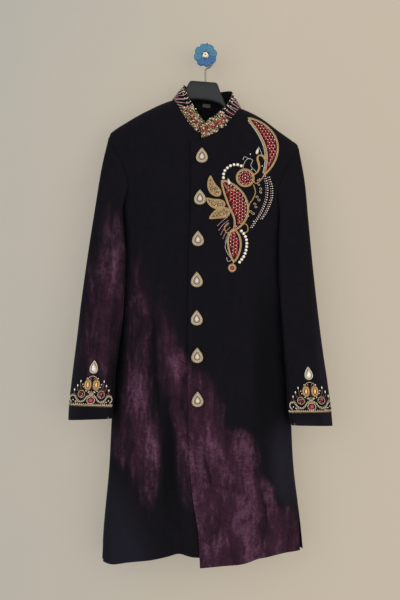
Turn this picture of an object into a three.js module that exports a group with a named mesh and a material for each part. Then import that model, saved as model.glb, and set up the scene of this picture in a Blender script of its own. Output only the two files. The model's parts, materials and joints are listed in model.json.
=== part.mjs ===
// A sherwani coat on a coat hanger, hung from a flower-headed wall hook.
// Millimetres, +Z up. The origin is the middle of the hook's base plate where it meets the wall.
// The wall is the plane y = 0, everything hangs on its -Y side, and +X is the viewer's right.
// Left and right in the names of pieces are the wearer's: the left front is on the viewer's right.
import * as THREE from "three";

// ---------------------------------------------------------------- driving dimensions

const CLOTH = 2; // velvet with its interlining
const COLLAR_WALL = 2.5;
const SEAM = 0.4; // clearance between neighbouring pieces
const SLEEVE_SEAM = 1.8; // the same along the sleeves, whose seams twist
const ARMHOLE_PROUD = 1.6; // how far a sleeve stands proud of the armhole's edge under the arm
const ROUNDNESS = 2.6; // superellipse power of the coat's plan outline
const SHOULDER_REACH = 50; // how far below the shoulder line the cloth turns vertical
const UNDERLAP = 45; // how far the lower front runs on under the upper one
const UNDERLAP_STEP = 3.8; // how far it lies behind it
const ARMPIT = 0.165; // where the armhole ends, as a share of the way from shoulder tip to hem
const HANGER_Y = -50;
const HANGER_TILT = THREE.MathUtils.degToRad(4.6); // the embroidered side is heavier and hangs lower

// The coat's plan outline at each height: its two sides, the line of its side seams, and its depth.
const BODY = [
  { z: -90, left: -236, right: 229, mid: -50, front: 56, back: 37 },
  { z: -200, left: -232, right: 227, mid: -51, front: 58, back: 39 },
  { z: -262, left: -216, right: 211, mid: -53, front: 60, back: 42 },
  { z: -345, left: -203, right: 192, mid: -56, front: 62, back: 45 },
  { z: -426, left: -200, right: 186, mid: -58, front: 63, back: 47 },
  { z: -565, left: -204, right: 189, mid: -60, front: 62, back: 49 },
  { z: -703, left: -209, right: 194, mid: -61, front: 63, back: 50 },
  { z: -837, left: -216, right: 197, mid: -62, front: 65, back: 51 },
  { z: -953, left: -222, right: 203, mid: -62, front: 67, back: 52 },
  { z: -1082, left: -234, right: 219, mid: -62, front: 69, back: 53 },
  { z: -1175, left: -239, right: 228, mid: -62, front: 70, back: 54 },
];

// The shoulder line from tip to tip; between the neck points it is the line that the collar stands on.
const SHOULDERS = [
  { x: -223.6, z: -189 },
  { x: -219, z: -178 },
  { x: -184, z: -154.5 },
  { x: -138, z: -129 },
  { x: -77.6, z: -103.5 },
  { x: 0, z: -92 },
  { x: 82.4, z: -122 },
  { x: 126.4, z: -143 },
  { x: 168, z: -173 },
  { x: 200.7, z: -196.3 },
  { x: 213, z: -206 },
  { x: 216, z: -216 },
];
const NECK_RIGHT = SHOULDERS[4];
const NECK_LEFT = SHOULDERS[6];
const TIP_RIGHT = SHOULDERS[0];
const TIP_LEFT = SHOULDERS[SHOULDERS.length - 1];

// How far the armhole is cut in from the side, by its share of the way from shoulder tip to armpit.
const ARMHOLE = [
  { t: 0, front: 9, back: 9 },
  { t: 0.25, front: 22, back: 18 },
  { t: 0.45, front: 29, back: 22 },
  { t: 0.68, front: 33, back: 24 },
  { t: 0.85, front: 27, back: 19 },
  { t: 0.95, front: 14, back: 10 },
  { t: 1, front: 0, back: 0 },
];
const ARMHOLE_STEPS = [0, 0.05, 0.12, 0.24, 0.39, 0.58, 0.76, 0.88, 0.95, 1];
const SKIRT_ROWS = 13;

// The upper front's edge, from neck to hem.
const FRONT_EDGE = [
  { z: -200, x: -33 },
  { z: -341, x: -33 },
  { z: -453, x: -37.3 },
  { z: -632, x: -39.6 },
  { z: -789, x: -39.6 },
  { z: -901, x: -37.3 },
  { z: -946, x: -35 },
  { z: -1013, x: -28.4 },
  { z: -1085, x: -17.2 },
  { z: -1168, x: -12.7 },
];

// Neck seams, from the end at the front to the neck point on the shoulder.
const NECK_SEAM_LEFT = [
  { x: -33, z: -206.5 },
  { x: -9.6, z: -201.7 },
  { x: 28.3, z: -186 },
  { x: 56, z: -161 },
  { x: 72, z: -139 },
  { x: NECK_LEFT.x, z: NECK_LEFT.z },
];
const NECK_SEAM_RIGHT = [
  { x: NECK_RIGHT.x, z: NECK_RIGHT.z },
  { x: -58.5, z: -137 },
  { x: -39.7, z: -166 },
  { x: -22, z: -184 },
  { x: -4, z: -194 },
  { x: 12, z: -197 },
];
const NECK_SEAM_BACK = [
  { x: NECK_RIGHT.x, z: NECK_RIGHT.z },
  { x: -42, z: -110 },
  { x: 2, z: -116 },
  { x: 46, z: -120 },
  { x: NECK_LEFT.x, z: NECK_LEFT.z },
];

// Hems.
const HEM_RIGHT = [
  { x: -239, z: -1161 },
  { x: -212, z: -1163 },
  { x: -178, z: -1155 },
  { x: -124, z: -1148 },
  { x: -75, z: -1137 },
  { x: -57, z: -1134.5 },
  { x: -35, z: -1139 },
  { x: -16, z: -1142 },
  { x: 33, z: -1147 },
];
const HEM_LEFT = [
  { x: -12.7, z: -1164.5 },
  { x: 36, z: -1160 },
  { x: 87, z: -1154 },
  { x: 121, z: -1146 },
  { x: 178, z: -1135 },
  { x: 228, z: -1134 },
];
const HEM_BACK = [
  { x: -239, z: -1161 },
  { x: 0, z: -1150 },
  { x: 228, z: -1138 },
];

// Side slits: the front's edge draws in from the back's below the top of the slit.
const SLIT_RIGHT = { top: -1105, open: 4 };
const SLIT_LEFT = { top: -1010, open: 9 };

// Largest folds of the fronts. A negative depth is a valley, and each runs straight from high to low.
const FOLDS = [
  { highX: -124, highZ: -560, lowX: -108, lowZ: -930, width: 11, depth: -6 },
  { highX: -96, highZ: -760, lowX: -52, lowZ: -1250, width: 16, depth: -9 },
  { highX: -150, highZ: -800, lowX: -190, lowZ: -1260, width: 24, depth: 5 },
  { highX: 116, highZ: -540, lowX: 126, lowZ: -980, width: 13, depth: -6 },
  { highX: 92, highZ: -800, lowX: 128, lowZ: -1260, width: 15, depth: -7 },
  { highX: 60, highZ: -930, lowX: 84, lowZ: -1260, width: 22, depth: 5 },
];
// Between the last two buttons the front edge gapes towards the viewer.
const GAPE = { z: -742, half: 48, reach: 26, lift: 6 };

// Sleeve sections from below the shoulder to the cuff, each a rounded four-cornered ring.
// zOut and zIn are the heights of its outer and inner sides; out and in are x, at front and back.
const SLEEVE_CORNER = 4; // superellipse power of the ring
const SLEEVE_RIGHT = [
  {
    zOut: -262, zIn: -374, yOut: -92, yIn: -112, yBack: -14,
    out: -240, inFront: -178, inBack: -240, outBack: -236,
  },
  {
    zOut: -350, zIn: -410, yOut: -98, yIn: -118, yBack: -13,
    out: -254, inFront: -173, inBack: -242, outBack: -250,
  },
  {
    zOut: -455, zIn: -475, yOut: -104, yIn: -122, yBack: -13,
    out: -270, inFront: -167, inBack: -242, outBack: -266,
  },
  {
    zOut: -565, zIn: -570, yOut: -108, yIn: -125, yBack: -15,
    out: -285.5, inFront: -170, inBack: -246, outBack: -280,
  },
  {
    zOut: -650, zIn: -650, yOut: -111, yIn: -127, yBack: -22,
    out: -295, inFront: -178, inBack: -250, outBack: -290,
  },
  {
    zOut: -722, zIn: -722, yOut: -114, yIn: -128, yBack: -40,
    out: -303, inFront: -190, inBack: -246, outBack: -299,
  },
  {
    zOut: -795, zIn: -798, yOut: -116, yIn: -129, yBack: -58,
    out: -310.5, inFront: -197, inBack: -236, outBack: -307,
  },
  {
    zOut: -836, zIn: -831, yOut: -117, yIn: -129, yBack: -68,
    out: -312, inFront: -205, inBack: -228, outBack: -310,
  },
];
const SLEEVE_LEFT = [
  {
    zOut: -292, zIn: -402, yOut: -92, yIn: -112, yBack: -14,
    out: 229, inFront: 156, inBack: 227, outBack: 225,
  },
  {
    zOut: -380, zIn: -440, yOut: -98, yIn: -118, yBack: -13,
    out: 237, inFront: 153, inBack: 227, outBack: 233,
  },
  {
    zOut: -480, zIn: -500, yOut: -104, yIn: -122, yBack: -13,
    out: 246, inFront: 152, inBack: 228, outBack: 242,
  },
  {
    zOut: -590, zIn: -595, yOut: -108, yIn: -125, yBack: -15,
    out: 258, inFront: 157, inBack: 232, outBack: 253,
  },
  {
    zOut: -680, zIn: -680, yOut: -111, yIn: -127, yBack: -22,
    out: 269, inFront: 163, inBack: 234, outBack: 264,
  },
  {
    zOut: -745, zIn: -745, yOut: -114, yIn: -128, yBack: -40,
    out: 278, inFront: 169, inBack: 230, outBack: 273,
  },
  {
    zOut: -812, zIn: -812, yOut: -116, yIn: -129, yBack: -58,
    out: 286, inFront: 174, inBack: 218, outBack: 282,
  },
  {
    zOut: -849, zIn: -846, yOut: -117, yIn: -129, yBack: -68,
    out: 288.5, inFront: 187, inBack: 210, outBack: 286,
  },
];
// The two seams of a two-piece sleeve, by share of the ring from outer to inner side.
const FRONT_SEAM = 0.88;
const BACK_SEAM = 0.12;

// ---------------------------------------------------------------- small helpers

const { clamp, lerp, smoothstep } = THREE.MathUtils;
const vec = (x, y, z) => new THREE.Vector3(x, y, z);
const last = (list) => list[list.length - 1];
const steps = (from, to, count) =>
  Array.from({ length: count + 1 }, (_, i) => lerp(from, to, i / count));

// Smooth value of one column of a table, whose rows run in order of another column.
function lookup(rows, key, column, at) {
  const direction = Math.sign(last(rows)[key] - rows[0][key]);
  let i = 1;
  while (i < rows.length - 1 && direction * (at - rows[i][key]) > 0) i++;
  const slope = (k) => {
    const before = rows[Math.max(k - 1, 0)];
    const after = rows[Math.min(k + 1, rows.length - 1)];
    return (after[column] - before[column]) / (after[key] - before[key]);
  };
  const [a, b] = [rows[i - 1], rows[i]];
  const span = b[key] - a[key];
  const s = clamp((at - a[key]) / span, 0, 1);
  const rise = 3 * s * s - 2 * s * s * s;
  return (
    lerp(a[column], b[column], rise) +
    span * s * (1 - s) * ((1 - s) * slope(i - 1) - s * slope(i))
  );
}

// A closed body from rings of points: walls between neighbouring rings, and a flat cap on each end.
function loft(rings) {
  const n = rings[0].length;
  const points = rings.flat();
  const index = [];
  for (let r = 0; r + 1 < rings.length; r++)
    for (let i = 0; i < n; i++) {
      const j = (i + 1) % n;
      const [a, b, c, d] = [r * n + i, r * n + j, (r + 1) * n + i, (r + 1) * n + j];
      index.push(a, b, d, a, d, c);
    }
  for (const [ring, turned] of [[0, true], [rings.length - 1, false]]) {
    const centre = rings[ring].reduce((sum, p) => sum.add(p), vec(0, 0, 0)).divideScalar(n);
    points.push(centre);
    for (let i = 0; i < n; i++) {
      const [a, b] = [ring * n + i, ring * n + ((i + 1) % n)];
      index.push(...(turned ? [b, a] : [a, b]), points.length - 1);
    }
  }
  return solid(points, index);
}

// Geometry from points and triangles, with its faces turned outwards.
function solid(points, index) {
  let volume = 0;
  for (let i = 0; i < index.length; i += 3) {
    const [a, b, c] = [points[index[i]], points[index[i + 1]], points[index[i + 2]]];
    volume += a.dot(b.clone().cross(c));
  }
  if (volume < 0)
    for (let i = 0; i < index.length; i += 3)
      [index[i + 1], index[i + 2]] = [index[i + 2], index[i + 1]];
  const geometry = new THREE.BufferGeometry().setFromPoints(points).setIndex(index);
  geometry.computeVertexNormals();
  return geometry;
}

// A wall of even thickness: the sheet point(u, v) and a copy of it moved in along normal(u, v).
function wall(sheet, us, vs, thickness) {
  const rows = vs.map((v) => us.map((u) => sheet.point(u, v)));
  const outer = rows.flat();
  const inner = vs.flatMap((v, j) =>
    us.map((u, i) => rows[j][i].clone().addScaledVector(sheet.normal(u, v), -thickness)),
  );
  const n = us.length;
  const m = vs.length;
  const size = outer.length;
  const index = [];
  const quad = (a, b, c, d) => index.push(a, b, c, a, c, d);
  for (let j = 0; j + 1 < m; j++)
    for (let i = 0; i + 1 < n; i++) {
      const [a, b, c, d] = [j * n + i, j * n + i + 1, (j + 1) * n + i + 1, (j + 1) * n + i];
      quad(a, b, c, d);
      quad(size + d, size + c, size + b, size + a);
    }
  const rim = (a, b) => quad(b, a, size + a, size + b);
  for (let i = 0; i + 1 < n; i++) {
    rim(i, i + 1);
    rim((m - 1) * n + i + 1, (m - 1) * n + i);
  }
  for (let j = 0; j + 1 < m; j++) {
    rim((j + 1) * n, j * n);
    rim(j * n + n - 1, (j + 1) * n + n - 1);
  }
  return solid([...outer, ...inner], index);
}

// The unit normal of a sheet on the side that the point `away` looks from.
function normalOf(point, u, v, away) {
  const step = 1e-3;
  const [u0, u1] = [Math.max(u - step, 0), Math.min(u + step, 1)];
  const [v0, v1] = [Math.max(v - step, 0), Math.min(v + step, 1)];
  const across = point(u1, v).sub(point(u0, v));
  const down = point(u, v1).sub(point(u, v0));
  const n = across.cross(down).normalize();
  return n.dot(away) < 0 ? n.negate() : n;
}

// ---------------------------------------------------------------- the coat's surface

const shoulderZ = (x) => lookup(SHOULDERS, "x", "z", clamp(x, TIP_RIGHT.x, TIP_LEFT.x));
const sideX = (side, z) => lookup(BODY, "z", side < 0 ? "left" : "right", z);
const frontEdge = (z) => lookup(FRONT_EDGE, "z", "x", z);

function foldDepth(x, z) {
  let depth = 0;
  for (const fold of FOLDS) {
    const along = (z - fold.highZ) / (fold.lowZ - fold.highZ);
    if (along <= 0 || along >= 1) continue;
    const off = (x - lerp(fold.highX, fold.lowX, along)) / fold.width;
    const fade = smoothstep(along, 0, 0.3) * (1 - smoothstep(along, 0.8, 1));
    depth += fold.depth * Math.exp(-off * off) * fade;
  }
  return depth;
}

// y of the coat at x, z; face is -1 on the fronts and +1 on the back.
function coatY(x, z, face) {
  const [left, right] = [sideX(-1, z), sideX(1, z)];
  const across = clamp(Math.abs(x - (left + right) / 2) / ((right - left) / 2), 0, 1);
  const round = (1 - across ** ROUNDNESS) ** (1 / ROUNDNESS);
  const below = clamp((shoulderZ(x) - z) / SHOULDER_REACH, 0, 1);
  const top = Math.sqrt(1 - (1 - below) ** 2);
  const depth = lookup(BODY, "z", face < 0 ? "front" : "back", z);
  const folds = face < 0 ? foldDepth(x, z) * round : 0;
  return lookup(BODY, "z", "mid", z) + face * (depth * round * top + folds + SEAM / 2);
}

// The side of a front or back, from shoulder tip (w = 0) round the armhole and down to the hem (w = 1).
function sideEdge(side, face, w) {
  const tip = side < 0 ? TIP_RIGHT : TIP_LEFT;
  const [rightHem, leftHem] = face < 0 ? [HEM_RIGHT[0], last(HEM_LEFT)] : [HEM_BACK[0], last(HEM_BACK)];
  const hem = side < 0 ? rightHem : leftHem;
  const z = lerp(tip.z, hem.z, w);
  let inset = 0;
  if (w < ARMPIT) inset = lookup(ARMHOLE, "t", face < 0 ? "front" : "back", w / ARMPIT);
  const slit = side < 0 ? SLIT_RIGHT : SLIT_LEFT;
  if (face < 0 && z < slit.top) inset = slit.open * smoothstep(z, slit.top, hem.z);
  return sideX(side, z) - side * inset;
}

// A panel between two edges, a top line and a hem. s runs from edge a to edge b, and w downwards.
function panelSheet({ face, a, b, topZ, hemZ, lift = () => 0 }) {
  const point = (s, w) => {
    const x = lerp(a(w), b(w), s);
    const top = topZ(lerp(a(0), b(0), s));
    const z = lerp(top, hemZ(lerp(a(1), b(1), s)), w);
    return vec(x, coatY(x, z, face) + lift(x, z), z);
  };
  const normal = (s, w) => normalOf(point, s, w, vec(point(s, w).x / 100, face, 0.01));
  return { point, normal };
}

// The same sheet, with its normal held in the seam's plane where a front and the back meet.
function seamed(sheet, meets) {
  const normal = (s, w) => {
    const n = sheet.normal(s, w);
    const { x } = sheet.point(s, w);
    const onShoulder = w === 0 && (x <= NECK_RIGHT.x || x >= NECK_LEFT.x);
    return onShoulder || (w >= ARMPIT && meets.includes(s)) ? n.setY(0).normalize() : n;
  };
  return { point: sheet.point, normal };
}

// The line along the top of a panel: its neck seam, and the shoulder beyond it.
function topLine(seam) {
  return (x) => (x >= seam[0].x && x <= last(seam).x ? lookup(seam, "x", "z", x) : shoulderZ(x));
}

// The upper front gapes a little at its edge, and the lower front lies behind it along the underlap.
function gapeLift(x, z) {
  const along = Math.exp(-(((z - GAPE.z) / GAPE.half) ** 2));
  return -GAPE.lift * along * (1 - smoothstep(x - frontEdge(z), 0, GAPE.reach));
}
function underlapDrop(x, z) {
  return UNDERLAP_STEP * smoothstep(x - frontEdge(z), -14, -3);
}

const frontLeft = seamed(
  panelSheet({
    face: -1,
    a: (w) => frontEdge(lerp(NECK_SEAM_LEFT[0].z, HEM_LEFT[0].z, w)),
    b: (w) => sideEdge(1, -1, w),
    topZ: topLine(NECK_SEAM_LEFT),
    hemZ: (x) => lookup(HEM_LEFT, "x", "z", x),
    lift: gapeLift,
  }),
  [1],
);
const frontRight = seamed(
  panelSheet({
    face: -1,
    a: (w) => frontEdge(lerp(last(NECK_SEAM_RIGHT).z, last(HEM_RIGHT).z, w)) + UNDERLAP,
    b: (w) => sideEdge(-1, -1, w),
    topZ: topLine(NECK_SEAM_RIGHT),
    hemZ: (x) => lookup(HEM_RIGHT, "x", "z", x),
    lift: underlapDrop,
  }),
  [1],
);
const back = seamed(
  panelSheet({
    face: 1,
    a: (w) => sideEdge(-1, 1, w),
    b: (w) => sideEdge(1, 1, w),
    topZ: topLine(NECK_SEAM_BACK),
    hemZ: (x) => lookup(HEM_BACK, "x", "z", x),
  }),
  [0, 1],
);

const panelRows = [
  ...ARMHOLE_STEPS.map((t) => t * ARMPIT),
  ...steps(ARMPIT, 1, SKIRT_ROWS).slice(1),
];
// Columns: even across the neck, then closer and closer towards the side, where the cloth turns.
const NECK_COLUMNS = 9;
const SHOULDER_COLUMNS = 8;
const shareOf = (x, a, b) => (x - a) / (b - a);
const towardsSide = (from, to) =>
  steps(0, 1, SHOULDER_COLUMNS).map((k) => lerp(from, to, Math.sin((k * Math.PI) / 2)));
function frontColumns(sheet, neckX) {
  const neck = shareOf(neckX, sheet.point(0, 0).x, sheet.point(1, 0).x);
  return [...steps(0, neck, NECK_COLUMNS), ...towardsSide(neck, 1).slice(1)];
}
function backColumns() {
  const right = shareOf(NECK_RIGHT.x, TIP_RIGHT.x, TIP_LEFT.x);
  const left = shareOf(NECK_LEFT.x, TIP_RIGHT.x, TIP_LEFT.x);
  return [
    ...towardsSide(right, 0).reverse(),
    ...steps(right, left, NECK_COLUMNS).slice(1, -1),
    ...towardsSide(left, 1),
  ];
}

// ---------------------------------------------------------------- sleeves

// The armhole ring, taken from the panels' own edges and moved clear of them.
function armholePoint(side, face, t) {
  const sheet = face > 0 ? back : side < 0 ? frontRight : frontLeft;
  const s = face > 0 && side < 0 ? 0 : 1;
  const at = sheet.point(s, t * ARMPIT);
  const normal = sheet.normal(s, t * ARMPIT);
  at.add(vec(side * SEAM, 0, t * SEAM)).addScaledVector(normal, ARMHOLE_PROUD * t);
  return { at, normal };
}

// q runs round the ring: 0 at the outer side, 1 at the inner side by way of the front, 2 back at the outer.
function ringPlace(q) {
  if (q < 0) return { face: 1, t: -q };
  if (q > 1) return { face: 1, t: 2 - q };
  return { face: -1, t: q };
}
function sectionPoint(section, face, t) {
  const out = 1 - t; // share of the way from the inner side to the outer
  const across = 2 * out - 1;
  const bulge = (1 - Math.abs(across) ** SLEEVE_CORNER) ** (1 / SLEEVE_CORNER);
  const front = (1 - face * bulge) / 2;
  return vec(
    lerp(lerp(section.inBack, section.outBack, out), lerp(section.inFront, section.out, out), front),
    lerp(section.yBack, lerp(section.yIn, section.yOut, out), front),
    lerp(section.zIn, section.zOut, out),
  );
}

// The sleeve's surface: q round it and v from armhole to cuff, on a smooth curve through its sections.
function sleeveSheet(side, sections) {
  const ringPoint = (k, q) => {
    const { face, t } = ringPlace(q);
    return k === 0 ? armholePoint(side, face, t).at : sectionPoint(sections[k - 1], face, t);
  };
  const point = (q, v) => {
    const at = clamp(v, 0, 1) * sections.length;
    const k = Math.min(Math.floor(at), sections.length - 1);
    const [p1, p2] = [ringPoint(k, q), ringPoint(k + 1, q)];
    const p0 = k > 0 ? ringPoint(k - 1, q) : p1.clone().multiplyScalar(2).sub(p2);
    const p3 = k + 2 <= sections.length ? ringPoint(k + 2, q) : p2.clone().multiplyScalar(2).sub(p1);
    const s = at - k;
    const curve = (a, b, c, d) =>
      b + 0.5 * s * (c - a + s * (2 * a - 5 * b + 4 * c - d + s * (3 * (b - c) + d - a)));
    return vec(curve(p0.x, p1.x, p2.x, p3.x), curve(p0.y, p1.y, p2.y, p3.y), curve(p0.z, p1.z, p2.z, p3.z));
  };
  const middle = (v) => point(0.5, v).add(point(-0.5, v)).multiplyScalar(0.5);
  const normal = (q, v) => {
    const { face, t } = ringPlace(q);
    if (v === 0) return armholePoint(side, face, t).normal;
    const step = 1e-3;
    const round = point(q + step, v).sub(point(q - step, v));
    const along = point(q, Math.min(v + step, 1)).sub(point(q, v - step));
    const n = round.cross(along).normalize();
    return n.dot(point(q, v).sub(middle(v))) < 0 ? n.negate() : n;
  };
  return { point, normal };
}

// One piece of a sleeve between two seams, drawn in by half a seam's clearance at each.
function sleevePiece(sheet, from, to) {
  const us = [from, ...ringSteps.filter((q) => q > from && q < to), to];
  const drawnIn = (q, v) => {
    if (q !== from && q !== to) return q;
    const inward = q === from ? 1 : -1;
    const probe = 0.01;
    const speed = sheet.point(q + inward * probe, v).distanceTo(sheet.point(q, v)) / probe;
    return q + (inward * SLEEVE_SEAM) / 2 / speed;
  };
  const trimmed = {
    point: (q, v) => sheet.point(drawnIn(q, v), v),
    normal: (q, v) => sheet.normal(q, v),
  };
  return wall(trimmed, us, sleeveRows, CLOTH);
}
const ringSteps = [
  ...ARMHOLE_STEPS.map((t) => -t).reverse(),
  ...ARMHOLE_STEPS.slice(1),
  ...ARMHOLE_STEPS.map((t) => 2 - t).reverse().slice(1),
];
const sleeveRows = [0, 0.015, 0.035, 0.06, 0.09, ...steps(0.125, 1, 14)];
const sleeveRight = sleeveSheet(-1, SLEEVE_RIGHT);
const sleeveLeft = sleeveSheet(1, SLEEVE_LEFT);

// ---------------------------------------------------------------- collar and label

// The band at each station: where it meets the neck seam (x, on the fronts or the back), and its top edge.
const COLLAR = [
  { x: 10, face: -1, topX: 15, topY: -86, topZ: -167 },
  { x: -7, face: -1, topX: -2, topY: -86, topZ: -156 },
  { x: -22, face: -1, topX: -12, topY: -86, topZ: -145 },
  { x: -39.7, face: -1, topX: -27, topY: -82, topZ: -121 },
  { x: -58.5, face: -1, topX: -40, topY: -74, topZ: -95 },
  { x: NECK_RIGHT.x, face: -1, topX: -49.5, topY: -52, topZ: -68 },
  { x: -62, face: 1, topX: -45, topY: -32, topZ: -67 },
  { x: -36, face: 1, topX: -28, topY: -21, topZ: -70 },
  { x: 2, face: 1, topX: 5, topY: -17, topZ: -75 },
  { x: 40, face: 1, topX: 36, topY: -21, topZ: -77 },
  { x: 66, face: 1, topX: 53, topY: -32, topZ: -77 },
  { x: NECK_LEFT.x, face: -1, topX: 61, topY: -51, topZ: -83 },
  { x: 72, face: -1, topX: 57, topY: -70, topZ: -102 },
  { x: 56, face: -1, topX: 45.4, topY: -81, topZ: -120 },
  { x: 28.3, face: -1, topX: 22, topY: -96, topZ: -143.5 },
  { x: 8, face: -1, topX: 4.9, topY: -104, topZ: -156.7 },
  { x: -9.6, face: -1, topX: -14.2, topY: -107, topZ: -170.9 },
].map((station, i, all) => ({ ...station, u: i / (all.length - 1) }));
const COLLAR_GAP = 1.8;
const NECK_U = COLLAR.filter((s) => s.x === NECK_RIGHT.x || s.x === NECK_LEFT.x).map((s) => s.u);

function collarPoint(u, v) {
  const x = clamp(lookup(COLLAR, "u", "x", u), NECK_RIGHT.x, NECK_LEFT.x);
  const top = vec(...["topX", "topY", "topZ"].map((column) => lookup(COLLAR, "u", column, u)));
  let foot;
  if (u < NECK_U[0]) {
    const z = topLine(NECK_SEAM_RIGHT)(x);
    foot = vec(x, coatY(x, z, -1) + underlapDrop(x, z), z);
  } else if (u > NECK_U[1]) {
    const z = topLine(NECK_SEAM_LEFT)(x);
    foot = vec(x, coatY(x, z, -1), z);
  } else {
    const z = topLine(NECK_SEAM_BACK)(x);
    foot = vec(x, coatY(x, z, 1), z);
  }
  const height = foot.distanceTo(top);
  return foot.lerp(top, lerp(COLLAR_GAP / height, 1, v));
}
const NECK_MIDDLE = vec(2, -62, -150);
const collar = {
  point: collarPoint,
  normal: (u, v) => {
    const n = normalOf(collarPoint, u, v, collarPoint(u, v).sub(NECK_MIDDLE));
    return v === 0 ? n.setZ(0).normalize() : n; // its lower edge lies level on the neck seam
  },
};
const LABEL = { from: 0.485, to: 0.515, low: 0.02, high: 0.24, wall: 0.8 };
const labelSheet = {
  point: (u, v) => collarPoint(u, v).addScaledVector(collar.normal(u, v), -COLLAR_WALL - SEAM),
  normal: collar.normal,
};

// ---------------------------------------------------------------- things sewn on

// Closed outline of a drop with its tip upwards, as [x, z] pairs.
function dropOutline(width, height, count) {
  const fullest = 0.77; // the widest value of the curve below
  return steps(0, 1, count).slice(0, -1).map((k) => {
    const a = k * 2 * Math.PI;
    return [((width / 2) * Math.sin(a) * Math.sin(a / 2)) / fullest, (height / 2) * Math.cos(a)];
  });
}
// A raised stone setting: the outline on each level, drawn in by the level's scale.
function setting(outline, levels) {
  return loft(levels.map(({ out, scale }) => outline.map(([x, z]) => vec(x * scale, -out, z * scale))));
}
const BUTTON = { width: 27, height: 35, points: 16 };
const BUTTON_STANDOFF = 1.5;
const BUTTON_LEVELS = [
  { out: 0, scale: 1 },
  { out: 2.4, scale: 1 },
  { out: 3.4, scale: 0.86 },
  { out: 4.4, scale: 0.6 },
  { out: 6.4, scale: 0.36 },
];
const BUTTONS = [
  { x: -8.4, z: -239 },
  { x: -12.8, z: -334 },
  { x: -17.3, z: -427 },
  { x: -19.8, z: -519 },
  { x: -20, z: -605 },
  { x: -19.3, z: -689 },
  { x: -18.6, z: -787 },
];

// Plates of the chest spray: a curved spine from foot to tip, its full width, and where it is widest.
const SPRAY = [
  { name: "crescent", foot: [131, -284], bend: [180, -204], tip: [97, -158], width: 31, fullest: 0.56 },
  { name: "rosette", foot: [92, -311.5], bend: [92, -292], tip: [92, -272.5], width: 39, fullest: 0.5 },
  { name: "boteh", foot: [62, -404], bend: [96, -362], tip: [34, -300], width: 40, fullest: 0.62 },
  { name: "leaf_1", foot: [28, -326], bend: [11, -318], tip: [13, -290], width: 15, fullest: 0.45 },
  { name: "leaf_2", foot: [38, -345], bend: [20, -349], tip: [4, -333], width: 15, fullest: 0.45 },
  { name: "leaf_3", foot: [51, -364], bend: [32, -362], tip: [14, -378], width: 17, fullest: 0.45 },
  { name: "tail", foot: [61, -409], bend: [66, -440], tip: [63, -477], width: 27, fullest: 0.42 },
  { name: "pendant", foot: [59, -501], bend: [59, -491.5], tip: [59, -482], width: 19, fullest: 0.5 },
];
const SPRAY_STANDOFF = 0.9;
const SPRAY_PLATE = 2;
const SPRAY_BLUNT = 0.9; // half width left at a plate's two ends

function sprayPoint(plate) {
  const [foot, bend, tip] = [plate.foot, plate.bend, plate.tip].map(([x, z]) => vec(x, 0, z));
  const spine = new THREE.QuadraticBezierCurve3(foot, bend, tip);
  const power = Math.log(0.5) / Math.log(plate.fullest);
  return (across, along) => {
    const centre = spine.getPoint(along);
    const tangent = spine.getTangent(along);
    const half = Math.sqrt(Math.sin(Math.PI * along ** power)) || 0;
    const reach = Math.max((plate.width / 2) * half, SPRAY_BLUNT) * lerp(-1, 1, across);
    const x = centre.x - tangent.z * reach;
    const z = centre.z + tangent.x * reach;
    return vec(x, coatY(x, z, -1) - SPRAY_STANDOFF - SPRAY_PLATE, z);
  };
}
function sprayPlate(plate) {
  const sheet = { point: sprayPoint(plate), normal: () => vec(0, -1, 0) };
  const along = steps(0, 1, 10).map((k) => (1 - Math.cos(k * Math.PI)) / 2);
  return wall(sheet, steps(0, 1, 4), along, SPRAY_PLATE);
}

// Cuff ornaments lie on the sleeve's front. Heights are above the beaded line, widths across the sleeve.
const CUFF_LINE = { aboveHem: 30, height: 4, from: -0.06, to: 0.86, out: 2.2 };
const CROWN = [
  { up: 5, half: 38 },
  { up: 16, half: 36 },
  { up: 24, half: 31 },
  { up: 38, half: 25 },
  { up: 50, half: 13 },
  { up: 60, half: 6 },
];
const CROWN_PLATE = 1.6;
const CROWN_MIDDLE = 0.48; // share of the way round from the outer side to the inner
const CUFF_DROP = { up: 83, width: 19, height: 31, points: 14 };
const ORNAMENT_STANDOFF = 0.9;

function cuffOrnaments(side, sheet, sections) {
  const cuff = last(sections);
  const heights = sections.map((section, i) => ({
    z: (section.zOut + section.zIn) / 2,
    v: (i + 1) / sections.length,
  }));
  const lineZ = last(heights).z + CUFF_LINE.aboveHem;
  const vAt = (z) => lookup(heights, "z", "v", z);
  const width = Math.abs(cuff.out - cuff.inFront);
  const raised = (out) => (q, v) =>
    sheet.point(q, v).addScaledVector(sheet.normal(q, v), ORNAMENT_STANDOFF + out);
  const band = {
    point: (q, k) => raised(CUFF_LINE.out)(q, vAt(lineZ + k * CUFF_LINE.height)),
    normal: (q, k) => sheet.normal(q, vAt(lineZ + k * CUFF_LINE.height)),
  };
  const crownPlace = (across, k) => {
    const up = lerp(CROWN[0].up, last(CROWN).up, k);
    const half = lookup(CROWN, "up", "half", up) / width;
    return [CROWN_MIDDLE + lerp(-half, half, across), vAt(lineZ + up)];
  };
  const crown = {
    point: (across, k) => raised(CROWN_PLATE)(...crownPlace(across, k)),
    normal: (across, k) => sheet.normal(...crownPlace(across, k)),
  };
  const drop = setting(dropOutline(CUFF_DROP.width, CUFF_DROP.height, CUFF_DROP.points), BUTTON_LEVELS);
  const bandSteps = ringSteps.filter((q) => q > CUFF_LINE.from && q < CUFF_LINE.to);
  return {
    band: wall(band, [CUFF_LINE.from, ...bandSteps, CUFF_LINE.to], [0, 1], CUFF_LINE.out),
    crown: wall(crown, steps(0, 1, 8), steps(0, 1, 8), CROWN_PLATE),
    drop,
    dropAt: raised(CROWN_PLATE)(CROWN_MIDDLE, vAt(lineZ + CUFF_DROP.up)),
  };
}

// ---------------------------------------------------------------- hanger and wall hook

const HANGER_MIDDLE = vec(-6, HANGER_Y, -80);
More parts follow.
